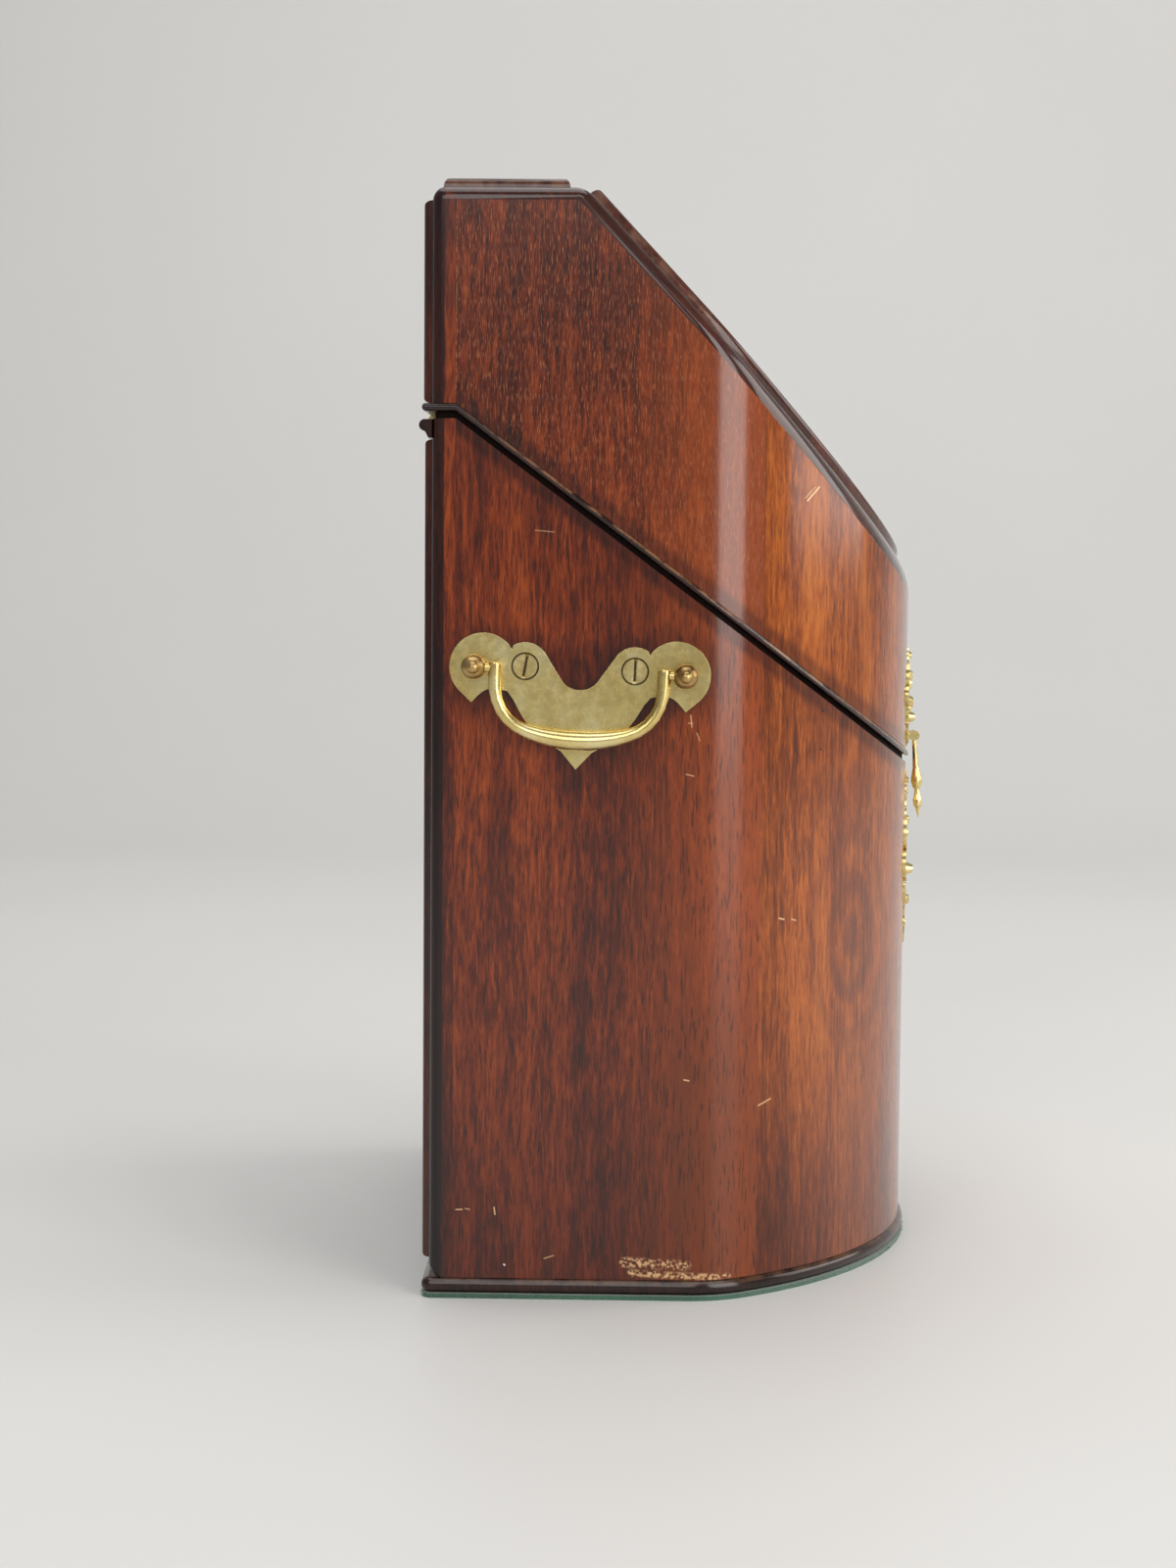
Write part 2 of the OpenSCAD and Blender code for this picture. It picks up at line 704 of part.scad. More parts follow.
module lid_front() {
    color([0.5, 0.16, 0.06]) difference() {
        lid_wall(joint_u, depth + over, 0);
        pin_holes(pull_mid, pull_pins);
        on_bow(0, pivot_z) translate([0, 0, -post_depth - 0.2]) cylinder(r = 1.5 + screw_clear, h = 10);
        staple_screw_holes();
    }
}

mitre = 12; // mitre planes are drawn this far out
crest_run = (1 / cos(slope_a) - 1) / slope_t; // how far the crest moves forward per millimetre up
crest_u = top_l + edge_t * crest_run;

module lid_back() {
    color([0.42, 0.14, 0.07]) difference() {
        moulded([[back_t, lid_z + bead_h], [back_t, top_z], [back_t - mitre, top_z + mitre],
            [-over, top_z + mitre], [-over, lid_z + bead_h]]);
        hinge_screw_holes(lid_z, 1);
    }
}

module lid_top_board() {
    color([0.4, 0.13, 0.06]) moulded([[back_t, top_z], [top_l, top_z],
        [top_l + mitre * crest_run, top_z + mitre], [back_t - mitre, top_z + mitre]]);
}

module lid_slope_board() {
    end_u = depth + over;
    color([0.4, 0.13, 0.06]) moulded([[top_l, top_z], [top_l + mitre * crest_run, top_z + mitre],
        [end_u, top_z + mitre], [end_u, slope_at(end_u)]]);
}

module lid_back_panel() {
    low = lid_z + bead_h + 0.2;
    high = top_z + edge_t - corner_round + 0.4;
    color([0.32, 0.1, 0.05]) translate([0, back_y, low]) rotate([90, 0, 180]) raised(panel_t - 0.2)
        translate([-case_w / 2 + panel_in, 0]) square([case_w - 2 * panel_in, high - low]);
}

module lid_top_panel() {
    from_u = corner_round - 1.1;
    to_u = crest_u - 4.9;
    color([0.45, 0.14, 0.06]) translate([0, 0, top_z + edge_t]) raised(panel_t)
        translate([-case_w / 2 + panel_in, y_at(to_u)]) square([case_w - 2 * panel_in, to_u - from_u]);
}

module lid_slope_panel() {
    start = 2.05;
    points = [for (p = outline(-panel_in, 0)) if (p[1] > top_l)
        [-p[0], (p[1] - crest_u) / cos(slope_a)]];
    half = case_w / 2 - panel_in;
    color([0.45, 0.14, 0.06]) translate([0, y_at(crest_u), top_z + edge_t])
        rotate([-slope_a, 0, 180]) raised(panel_t)
            polygon(concat([[-half, start]], points, [[half, start]]));
}

module lid_bead() {
    nose = bead_h / 2;
    section = concat([[-wall, -back_t + 0.5, 0]],
        [for (i = [0:arc_steps]) let (a = -90 + 180 * i / arc_steps, in = nose * (1 - cos(a)))
            [bead_out - in, bead_back_out - in, nose + nose * sin(a)]],
        [[-wall, -back_t + 0.5, bead_h]]);
    color([0.2, 0.1, 0.06]) difference() {
        ring(section, lid_z, seam_t, 0, back_t);
        hinge_rooms();
        hinge_screw_holes(lid_z, 1);
        staple_screw_holes();
    }
}

// hinges

leaf_t = seam_gap / 2 - 0.1;
leaf_u = 7; // the leaves reach this far forward
hinge_screw_u = 3.9;
hinge_screw_x = 12;
knuckle_l = (hinge_l - 0.6) / 3;

module at_hinges() {
    for (s = [-1, 1]) translate([s * hinge_x, y_at(-hinge_out), rim_z + seam_gap / 2]) children();
}

// Room for the knuckles in the mouldings, open to the back
module hinge_rooms() {
    r = knuckle_r + 0.4;
    at_hinges() translate([-hinge_l / 2 - 0.4, -r, -r]) cube([hinge_l + 0.8, r + 5, 2 * r]);
}

module hinge_screw_holes(z, up) {
    for (s = [-1, 1], k = [-1, 1])
        translate([s * hinge_x + k * hinge_screw_x, y_at(hinge_screw_u), z - (1 - up) * 8.2])
            cylinder(r = 0.9 + screw_clear, h = 8.2);
}

// One half of each hinge: up = 0 on the case with the outer knuckles, up = 1 on the lid
module hinge_half(up) {
    z = up == 1 ? seam_gap / 2 - leaf_t : -seam_gap / 2;
    own = up == 1 ? [0] : [-knuckle_l - 0.3, knuckle_l + 0.3];
    other = up == 1 ? [-knuckle_l - 0.3, knuckle_l + 0.3] : [0];
    at_hinges() difference() {
        union() {
            translate([-hinge_l / 2, -leaf_u - hinge_out, z]) cube([hinge_l, leaf_u + hinge_out, leaf_t]);
            for (x = own) translate([x - knuckle_l / 2, 0, 0]) rotate([0, 90, 0])
                cylinder(r = knuckle_r, h = knuckle_l);
        }
        for (x = other) translate([x - knuckle_l / 2 - 0.3, 0, 0]) rotate([0, 90, 0])
            cylinder(r = knuckle_r + 0.3, h = knuckle_l + 0.6);
        translate([-hinge_l, 0, 0]) rotate([0, 90, 0])
            cylinder(r = hinge_pin_r + turn_clear, h = 2 * hinge_l);
        for (k = [-1, 1]) translate([k * hinge_screw_x, -hinge_screw_u - hinge_out, 0])
            scale([1, 1, up == 1 ? 1 : -1]) translate([0, 0, seam_gap / 2 - leaf_t - 0.01])
                cylinder(r1 = 1.8 + screw_clear, r2 = 0.9 + screw_clear, h = leaf_t + 0.02);
    }
}

module hinge_screws(up) {
    at_hinges() for (k = [-1, 1]) translate([k * hinge_screw_x, -hinge_screw_u - hinge_out, 0])
        scale([1, 1, up == 1 ? 1 : -1]) translate([0, 0, seam_gap / 2 - leaf_t]) difference() {
            union() {
                cylinder(r1 = 1.8, r2 = 0.9, h = leaf_t);
                cylinder(r = 0.9, h = leaf_t + 8);
            }
            translate([-3, -0.25, -0.01]) cube([6, 0.5, 0.5]);
        }
}

module hinge_pins() {
    color("gold") at_hinges() translate([-hinge_l / 2, 0, 0]) rotate([0, 90, 0])
        cylinder(r = hinge_pin_r, h = hinge_l);
}

// staple under the lid's front edge

module lock_staple() {
    color("darkgoldenrod") difference() {
        at_staple() {
            translate([-staple_w / 2, -6.5, -1.2]) cube([staple_w, 9.3, 1.2]);
            translate([-lug_t / 2, -2.2, -10]) cube([lug_t, 4.4, 9]);
        }
        at_staple() translate([-lug_t, 0, staple_z]) rotate([0, 90, 0]) cylinder(r = 1.4, h = 2 * lug_t);
        at_staple() for (s = [-1, 1]) translate([s * 8, -2.6, -1.21])
            cylinder(r1 = 2.2 + screw_clear, r2 = 1.2 + screw_clear, h = 1.22);
    }
}

module staple_screws() {
    color("gold") at_staple() for (s = [-1, 1]) translate([s * 8, -2.6, -1.2]) difference() {
        union() {
            cylinder(r1 = 2.2, r2 = 1.2, h = 1.2);
            cylinder(r = 1.2, h = 8.2);
        }
        translate([-3, -0.3, -0.01]) cube([6, 0.6, 0.6]);
    }
}

module staple_screw_holes() {
    at_staple() for (s = [-1, 1]) translate([s * 8, -2.6, -1]) cylinder(r = 1.2 + screw_clear, h = 8.2);
}

// side handles, drawn with x forwards, y up and z out from the side face

handle_z = case_z + handle_h;
screw_x = 17.6; // the two screws, either side of the middle
screw_y = 0.75;
nut_t = 2.5;
head_t = 2.4;

module at_left_handle() {
    translate([-case_w / 2, y_at(handle_u), handle_z]) rotate([90, 0, -90])
        rotate([0, 0, -handle_tilt]) children();
}

module handle_place(s) {
    if (s < 0) at_left_handle() children();
    else mirror([1, 0, 0]) at_left_handle() children();
}

module at_posts() {
    for (k = [-1, 1]) translate([k * post_x, 0, 0]) children();
}

module at_screws() {
    for (k = [-1, 1]) translate([k * screw_x, screw_y, 0]) children();
}

module post_holes() {
    at_posts() translate([0, 0, -2 * wall]) cylinder(r = 1.6 + screw_clear, h = 4 * wall);
}

module nut_holes() {
    at_posts() translate([0, 0, -wall - 1]) cylinder(r = 4 + screw_clear, h = nut_t + 1);
}

module screw_holes() {
    at_screws() {
        translate([0, 0, plate_t - head_t])
            cylinder(r1 = 1.8 + screw_clear, r2 = screw_head_r + screw_clear, h = head_t);
        translate([0, 0, -6.9]) cylinder(r = 1.7 + screw_clear, h = 9);
    }
}

function arc(c, r, from_a, to_a, n) =
    [for (i = [0:n]) let (a = from_a + (to_a - from_a) * i / n) c + r * [cos(a), sin(a)]];

module handle_outline() {
    lobe = [31, 0]; // middle of the lobe round a post
    lobe_r = 10.9;
    ear = [screw_x, screw_y]; // middle of the lobe round a screw
    ear_r = 7.7;
    tip = [34.4, -11.6];
    dip_r = 7.1; // dip in the middle of the top edge
    dip_a = acos((dip_r + ear_r) / screw_x);
    flank_a = atan2(tip[1], tip[0] - lobe[0]) + acos(lobe_r / norm(tip - lobe));
    span = norm(lobe - ear);
    meet_a = acos((ear_r * ear_r + span * span - lobe_r * lobe_r) / (2 * ear_r * span));
    notch = ear + ear_r * [cos(meet_a), sin(meet_a)];
    half = concat(
        arc([0, 1], dip_r, -90, -dip_a, 8),
        arc(ear, ear_r, 180 - dip_a, meet_a + 4, 14),
        [notch - [0, 1]],
        arc(lobe, lobe_r, 180 - asin(notch[1] / lobe_r) - 4, flank_a, 28),
        [for (i = [0:8]) let (f = i / 8) tip + [-8.4 * f, 4.7 * f + 1.7 * sin(180 * f)]],
        [[23, -7.5], [21, -10], [18.4, -14.6], [15.5, -18.7], [10, -23], [4.95, -26], [0, -31.6]]);
    polygon(concat(half, [for (i = [len(half) - 2:-1:1]) [-half[i][0], half[i][1]]]));
}

module handle_plate() {
    difference() {
        linear_extrude(plate_t) handle_outline();
        post_holes();
        screw_holes();
    }
}

module handle_posts() {
    for (k = [-1, 1]) translate([k * post_x, 0, 0]) difference() {
        union() {
            translate([0, 0, -wall]) cylinder(r = 1.6, h = wall + plate_t + 1);
            translate([0, 0, plate_t]) cylinder(r = 3, h = pivot_out - plate_t);
            translate([0, 0, pivot_out]) sphere(ball_r);
            translate([0, 0, pivot_out + ball_r - 0.4]) sphere(2.1);
        }
        translate([-k * 0.8, 0, pivot_out]) rotate([0, -k * 90, 0])
            cylinder(r = bail_pin_r + turn_clear, h = 2 * ball_r);
    }
}

module handle_nuts() {
    at_posts() translate([0, 0, -wall]) difference() {
        cylinder(r = 4, h = nut_t);
        translate([0, 0, -1]) cylinder(r = 1.6 + screw_clear, h = nut_t + 2);
    }
}

module handle_screws() {
    for (k = [-1, 1]) translate([k * screw_x, screw_y, 0]) rotate([0, 0, k * 4 - 4]) difference() {
        union() {
            translate([0, 0, plate_t - head_t]) cylinder(r1 = 1.8, r2 = screw_head_r, h = head_t);
            translate([0, 0, -6.8]) cylinder(r = 1.7, h = 6);
        }
        translate([-0.6, -5, plate_t - 1]) cube([1.2, 10, 2]);
    }
}

module bail() {
    grip_x = bail_arm_x - bail_bend_r;
    pin_end = post_x - 0.8 - 0.2;
    translate([0, 0, pivot_out]) {
        for (k = [-1, 1]) scale([k, 1, 1]) {
            translate([bail_arm_x, 0, 0]) rotate([0, 90, 0])
                cylinder(r = bail_pin_r, h = pin_end - bail_arm_x);
            translate([bail_arm_x, 1.9, 0]) rotate([90, 0, 0])
                cylinder(r = bail_arm_r, h = 1.9 + bail_drop - bail_bend_r, $fn = 48);
            translate([grip_x, -bail_drop + bail_bend_r, 0]) rotate([0, 0, -90])
                rotate_extrude(angle = 90) translate([bail_bend_r, 0]) circle(bail_arm_r, $fn = 48);
        }
        translate([-grip_x, -bail_drop, 0]) rotate([0, 90, 0]) rotate_extrude($fn = 48)
            polygon(concat([[0, 0]], [for (i = [0:12]) let (f = i / 12)
                [bail_arm_r + (bail_grip_r - bail_arm_r) * sin(180 * f), 2 * grip_x * f]],
                [[0, 2 * grip_x]]));
    }
}

brass = [0.79, 0.66, 0.35];
mahogany = [0.5, 0.17, 0.07];

module left_side() {
    color(mahogany) case_side(-1);
}

module right_side() {
    color(mahogany) case_side(1);
}

module partition_back() {
    partition(partition_u[0]);
}

module partition_middle() {
    partition(partition_u[1]);
}

module partition_front() {
    partition(partition_u[2]);
}

module keyhole_plate_pins() {
    plate_pins(key_z, key_pins);
}

module hinge_case_leaves() {
    color(brass) hinge_half(0);
}

module hinge_case_screws() {
    color("gold") hinge_screws(0);
}

module lid_left_side() {
    color(mahogany) lid_wall(back_t, joint_u, -1);
}

module lid_right_side() {
    color(mahogany) lid_wall(back_t, joint_u, 1);
}

module hinge_lid_leaves() {
    color(brass) hinge_half(1);
}

module hinge_lid_screws() {
    color("gold") hinge_screws(1);
}

module pull_plate_pins() {
    plate_pins(pull_mid, pull_pins);
}

module left_handle_plate() {
    color(brass) handle_place(-1) handle_plate();
}

module left_handle_posts() {
    color("darkgoldenrod") handle_place(-1) handle_posts();
}

module left_handle_nuts() {
    color("goldenrod") handle_place(-1) handle_nuts();
}

module left_handle_screws() {
    color("gold") handle_place(-1) handle_screws();
}

module left_bail() {
    color(brass) handle_place(-1) bail();
}

module right_handle_plate() {
    color(brass) handle_place(1) handle_plate();
}

module right_handle_posts() {
    color("darkgoldenrod") handle_place(1) handle_posts();
}

module right_handle_nuts() {
    color("goldenrod") handle_place(1) handle_nuts();
}

module right_handle_screws() {
    color("gold") handle_place(1) handle_screws();
}

module right_bail() {
    color(brass) handle_place(1) bail();
}

baize_pad();
base_moulding();
bottom_board();
left_side();
right_side();
bow_front();
back_board();
back_panel();
stop_rail();
rim_strip();
insert_board();
insert_bearers();
floor_lining();
partition_back();
partition_middle();
partition_front();
lock_case();
lock_cover();
lock_screws();
lock_bolt();
keyhole_plate();
keyhole_plate_pins();
hinge_case_leaves();
hinge_pins();
hinge_case_screws();
lid_left_side();
lid_right_side();
lid_front();
lid_back();
lid_top_board();
lid_slope_board();
lid_back_panel();
lid_top_panel();
lid_slope_panel();
lid_bead();
hinge_lid_leaves();
hinge_lid_screws();
lock_staple();
staple_screws();
pull_plate();
pull_plate_pins();
pull_post();
drop_pull();
left_handle_plate();
left_handle_posts();
left_handle_nuts();
left_handle_screws();
left_bail();
right_handle_plate();
right_handle_posts();
right_handle_nuts();
right_handle_screws();
right_bail();
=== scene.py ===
# Old mahogany knife box with brass mounts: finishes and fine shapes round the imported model.
# Everything is in metres. The box's front faces -Y, its back +Y, and it stands on Z = 0.
import json
import math
import random

import bmesh
import bpy
from mathutils import Matrix, Vector


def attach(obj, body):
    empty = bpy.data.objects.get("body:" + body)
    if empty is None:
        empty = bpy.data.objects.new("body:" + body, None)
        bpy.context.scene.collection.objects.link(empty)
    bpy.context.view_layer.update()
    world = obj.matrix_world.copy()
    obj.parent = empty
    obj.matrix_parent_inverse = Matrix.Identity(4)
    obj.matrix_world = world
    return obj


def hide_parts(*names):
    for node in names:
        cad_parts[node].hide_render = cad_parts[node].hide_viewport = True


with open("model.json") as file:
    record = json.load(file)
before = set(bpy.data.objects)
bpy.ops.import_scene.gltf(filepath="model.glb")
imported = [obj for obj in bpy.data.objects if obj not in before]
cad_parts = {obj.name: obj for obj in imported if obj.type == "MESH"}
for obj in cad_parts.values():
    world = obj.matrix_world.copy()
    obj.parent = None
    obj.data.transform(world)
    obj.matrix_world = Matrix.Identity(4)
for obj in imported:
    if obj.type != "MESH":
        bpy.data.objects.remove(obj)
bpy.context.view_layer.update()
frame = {"nodes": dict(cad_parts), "record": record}
cadNodes = frame["nodes"]
print("stage: model loaded,", len(cadNodes), "nodes")

mm = 0.001

# plan and heights of the case; u is the distance ahead of its back face
case = {
    "width": 232.6 * mm,
    "flatLength": 84 * mm,
    "cornerRadius": 34 * mm,
    "cornerAngle": math.radians(32.4),
    "wall": 8 * mm,
    "backBoard": 7.8 * mm,
    "joint": 107 * mm,
    "baize": 1.5 * mm,
    "foot": 5 * mm,
    "rim": 284.7 * mm,
    "seamGap": 2.2 * mm,
    "bead": 2.6 * mm,
    "seamFall": math.tan(math.radians(36.65)),
    "lidTop": 353.5 * mm,
    "slopeStart": 46.7 * mm,
    "slopeFall": math.tan(math.radians(46.85)),
}
midX = case["width"] / 2 - case["cornerRadius"]
cornerTurn = case["cornerAngle"]
bowRadius = (midX + case["cornerRadius"] * math.cos(cornerTurn)) / math.cos(cornerTurn)
bowCentre = case["flatLength"] + (case["cornerRadius"] - bowRadius) * math.sin(cornerTurn)
depth = bowCentre + bowRadius
backY = depth / 2


def yAt(u):
    return backY - u


def addNode(tree, kind, inputs=None, **settings):
    # a node with its settings, and its inputs as values or links
    node = tree.nodes.new(kind)
    for key, value in settings.items():
        setattr(node, key, value)
    for key, value in (inputs or {}).items():
        if isinstance(value, bpy.types.NodeSocket):
            tree.links.new(value, node.inputs[key])
        else:
            node.inputs[key].default_value = value
    return node


def newSurface(name):
    material = bpy.data.materials.new(name)
    material.use_nodes = True
    tree = material.node_tree
    shader = tree.nodes["Principled BSDF"]
    return material, tree, shader


def remap(tree, value, low, high, toLow=0.0, toHigh=1.0):
    inputs = {"Value": value, "From Min": low, "From Max": high, "To Min": toLow, "To Max": toHigh}
    return addNode(tree, "ShaderNodeMapRange", inputs, interpolation_type="SMOOTHSTEP").outputs[0]


def calc(tree, operation, a, b=0.0, clamp=False):
    return addNode(tree, "ShaderNodeMath", {0: a, 1: b}, operation=operation, use_clamp=clamp).outputs[0]


def blendColour(tree, factor, a, b, mode="MIX"):
    node = addNode(tree, "ShaderNodeMix", data_type="RGBA", blend_type=mode)
    for key, value in ((0, factor), (6, a), (7, b)):
        if isinstance(value, bpy.types.NodeSocket):
            tree.links.new(value, node.inputs[key])
        else:
            node.inputs[key].default_value = value
    return node.outputs[2]


def noise(tree, vector, scale, detail=2.0, roughness=0.5):
    return addNode(tree, "ShaderNodeTexNoise", {"Vector": vector, "Scale": scale, "Detail": detail,
                                                "Roughness": roughness}).outputs[0]


def vectorMath(tree, operation, a, b, output=0):
    return addNode(tree, "ShaderNodeVectorMath", {0: a, 1: b}, operation=operation).outputs[output]


def stretched(tree, vector, factors):
    return vectorMath(tree, "MULTIPLY", vector, factors)


def scaled(tree, vector, factor):
    return addNode(tree, "ShaderNodeVectorMath", {0: vector, "Scale": factor}, operation="SCALE").outputs[0]


def ramp(tree, value, stops):
    node = addNode(tree, "ShaderNodeValToRGB", {"Fac": value})
    bar = node.color_ramp
    while len(bar.elements) < len(stops):
        bar.elements.new(0.5)
    for element, (place, colour) in zip(bar.elements, stops):
        element.position = place
        element.color = (*colour, 1)
    return node.outputs[0]


def strokeMask(tree, coords, start, end, halfWidth):
    # 1 on a fine stroke between two points (y, z) of the side, 0 off it
    a = Vector((0, start[0], start[1]))
    b = Vector((0, end[0], end[1])) - a
    fromA = vectorMath(tree, "SUBTRACT", stretched(tree, coords, (0, 1, 1)), a)
    along = vectorMath(tree, "DOT_PRODUCT", fromA, b, "Value")
    share = calc(tree, "MULTIPLY", along, 1 / max(b.length_squared, 1e-12), clamp=True)
    gap = vectorMath(tree, "DISTANCE", fromA, scaled(tree, b, share), "Value")
    return remap(tree, gap, halfWidth, halfWidth * 0.3)


def ringMask(tree, coords, middle, radius, half):
    # 1 on a thin ring about a point (y, z) of the side, 0 off it
    away = vectorMath(tree, "DISTANCE", stretched(tree, coords, (0, 1, 1)), (0, middle[0], middle[1]), "Value")
    gap = calc(tree, "ABSOLUTE", calc(tree, "SUBTRACT", away, radius), 0)
    return remap(tree, gap, half, half * 0.4)


grain = {
    # how far a noise is drawn out along the grain, its scale, detail and roughness
    "fine": (0.13, 800.0, 5.0, 0.7),
    "band": (0.06, 130.0, 5.0, 0.62),
    "broad": (0.45, 14.0, 4.0, 0.5),
    "poreStretch": 0.1,
    "poreScale": 1500.0,
    "wander": 0.02,
    "wanderScale": 9.0,
    "grimeAndShadeColour": (0.25, 0.16, 0.14, 1),
    "eyeColour": (0.1, 0.02, 0.006, 1),
    "patchScale": 900.0,
    "wearScale": 110.0,
}


def grainNoise(tree, vector, kind):
    stretch, scale, detail, roughness = grain[kind]
    return noise(tree, stretched(tree, vector, (1, 1, stretch)), scale, detail, roughness)


def woodSurface(name, look):
    material, tree, shader = newSurface(name)
    coords = addNode(tree, "ShaderNodeTexCoord").outputs["Object"]
    placed = addNode(tree, "ShaderNodeMapping", {"Vector": coords, "Location": look.get("shift", (0, 0, 0)),
                                                 "Rotation": look.get("turn", (0, 0, 0))}).outputs[0]
    wander = addNode(tree, "ShaderNodeTexNoise", {"Vector": stretched(tree, placed, (1, 1, 0.4)), "Detail": 2.0,
                                                  "Scale": grain["wanderScale"]}).outputs["Color"]
    wander = scaled(tree, vectorMath(tree, "SUBTRACT", wander, (0.5, 0.5, 0.5)), grain["wander"])
    bent = vectorMath(tree, "ADD", placed, wander)
    fine, band, broad = [grainNoise(tree, bent, kind) for kind in ("fine", "band", "broad")]
    pore = noise(tree, stretched(tree, placed, (1, 1, grain["poreStretch"])),
                 look.get("poreScale", grain["poreScale"]), 1.0)
    tone = calc(tree, "ADD", calc(tree, "MULTIPLY", fine, look["fine"]),
                calc(tree, "MULTIPLY", band, look["band"]))
    tone = calc(tree, "ADD", tone, calc(tree, "MULTIPLY", broad, 1 - look["fine"] - look["band"]))
    colour = ramp(tree, remap(tree, tone, 0.33, 0.67), look["stops"])
    place = addNode(tree, "ShaderNodeSeparateXYZ", {0: coords}).outputs
    for tint in look.get("tints", []):
        mask = remap(tree, place[tint["axis"]], tint["from"], tint["to"], 0.0, tint["most"])
        colour = blendColour(tree, mask, colour, (*tint["colour"], 1), tint.get("mode", "MIX"))
    poreMask = remap(tree, pore, 0.57, 0.66, 0.0, look["pores"])
    colour = blendColour(tree, poreMask, colour, (*look["poreColour"], 1))
    lift = calc(tree, "ADD", calc(tree, "MULTIPLY", fine, 0.5), calc(tree, "MULTIPLY", poreMask, -0.8))
    gloss = remap(tree, band, 0.3, 0.7, look["rough"][0], look["rough"][1])
    # strokes darkened by multiplying: grime round the handles, and painted shadow under the lid's bead
    for grimeAndShade in look.get("grimeAndShade", []):
        mask = strokeMask(tree, coords, grimeAndShade["start"], grimeAndShade["end"], grimeAndShade["half"])
        mask = calc(tree, "MULTIPLY", mask, grimeAndShade["most"])
        colour = blendColour(tree, mask, colour, grain["grimeAndShadeColour"], "MULTIPLY")
    if "eye" in look:
        # an oval figure in the grain
        eye = look["eye"]
        flat = stretched(tree, bent, (0, 1, eye["squash"]))
        middle = (0, eye["y"] + eye["offset"][1], eye["squash"] * (eye["z"] + eye["offset"][2]))
        away = vectorMath(tree, "DISTANCE", flat, middle, "Value")
        wave = calc(tree, "SINE", calc(tree, "MULTIPLY", away, eye["rings"]))
        near = remap(tree, away, eye["reach"], eye["reach"] * 0.3)
        wave = calc(tree, "MULTIPLY", remap(tree, wave, -0.6, 0.9), calc(tree, "MULTIPLY", near, 0.5))
        colour = blendColour(tree, wave, colour, grain["eyeColour"])
    for mark in look.get("marks", []):
        mask = strokeMask(tree, coords, mark["start"], mark["end"], mark["half"])
        strength = calc(tree, "MULTIPLY", mask, mark["most"])
        if mark["patchy"]:
            patch = remap(tree, noise(tree, coords, grain["patchScale"], 3.0), 0.42, 0.62)
            strength = calc(tree, "MULTIPLY", strength, patch)
        colour = blendColour(tree, strength, colour, (*mark["colour"], 1))
        lift = calc(tree, "SUBTRACT", lift, strength)
    # paler where the mesh marks it: real wear, and on the lid's bead also a painted highlight
    if "wearAndHighlight" in look:
        wornAndLit = addNode(tree, "ShaderNodeAttribute", attribute_name="wearAndHighlight").outputs["Fac"]
        patch = remap(tree, noise(tree, coords, grain["wearScale"], 4.0, 0.7), 0.38, 0.6)
        wornAndLit = calc(tree, "MULTIPLY", calc(tree, "MULTIPLY", wornAndLit, patch), look["wearAndHighlight"]["most"], clamp=True)
        colour = blendColour(tree, wornAndLit, colour, (*look["wearAndHighlight"]["colour"], 1))
    tree.links.new(colour, shader.inputs["Base Color"])
    tree.links.new(gloss, shader.inputs["Roughness"])
    bump = addNode(tree, "ShaderNodeBump", {"Height": lift, "Strength": look.get("bump", 0.25),
                                            "Distance": 0.0002})
    ripple = noise(tree, coords, look.get("rippleScale", 60.0), 2.0)
    ripple = addNode(tree, "ShaderNodeBump", {"Height": ripple, "Strength": look.get("ripple", 0.15),
                                              "Distance": 0.0012, "Normal": bump.outputs[0]})
    tree.links.new(ripple.outputs[0], shader.inputs["Normal"])
    shader.inputs["Coat Weight"].default_value = look.get("coat", 0.0)
    shader.inputs["Specular IOR Level"].default_value = look.get("sheen", 0.06)
    shader.inputs["Coat Roughness"].default_value = look.get("coatRough", 0.12)
    return material


metal = {
    "cloudScale": 55.0,
    "speckScale": 420.0,
    "brushScale": 900.0,
    "copperScale": 90.0,
    "copperColour": (0.62, 0.33, 0.2, 1),
    "slotColour": (0.02, 0.011, 0.006, 1),
}


def brassSurface(name, look):
    material, tree, shader = newSurface(name)
    coords = addNode(tree, "ShaderNodeTexCoord").outputs["Object"]
    cloud = noise(tree, coords, metal["cloudScale"], 5.0, 0.65)
    speck = noise(tree, coords, metal["speckScale"], 4.0, 0.7)
    brush = noise(tree, stretched(tree, coords, (1, 1, 0.12)), metal["brushScale"], 3.0, 0.6)
    colour = ramp(tree, remap(tree, cloud, 0.32, 0.68), look["stops"])
    spots = remap(tree, speck, 0.56, 0.74, 0.0, look["spots"])
    colour = blendColour(tree, spots, colour, (*look["spotColour"], 1))
    copper = remap(tree, noise(tree, coords, metal["copperScale"], 3.0), 0.58, 0.78, 0.0, look["copper"])
    colour = blendColour(tree, copper, colour, metal["copperColour"])
    # grime in the slots and round the heads of the handles' screws
    for screw in look.get("screws", []):
        masks = [ringMask(tree, coords, screw["middle"], screw["radius"], screw["half"])]
        if look.get("slots"):
            masks.append(strokeMask(tree, coords, screw["start"], screw["end"], screw["slotHalf"]))
        for mask in masks:
            colour = blendColour(tree, calc(tree, "MULTIPLY", mask, 0.9), colour, metal["slotColour"])
    tree.links.new(colour, shader.inputs["Base Color"])
    shader.inputs["Metallic"].default_value = 1.0
    rough = calc(tree, "ADD", remap(tree, speck, 0.3, 0.7, look["rough"][0], look["rough"][1]),
                 calc(tree, "MULTIPLY", spots, 0.25))
    tree.links.new(rough, shader.inputs["Roughness"])
    height = calc(tree, "ADD", calc(tree, "MULTIPLY", cloud, 0.8), calc(tree, "MULTIPLY", brush, 0.25))
    bump = addNode(tree, "ShaderNodeBump", {"Height": height, "Strength": look["bump"], "Distance": 0.0004})
    tree.links.new(bump.outputs[0], shader.inputs["Normal"])
    return material


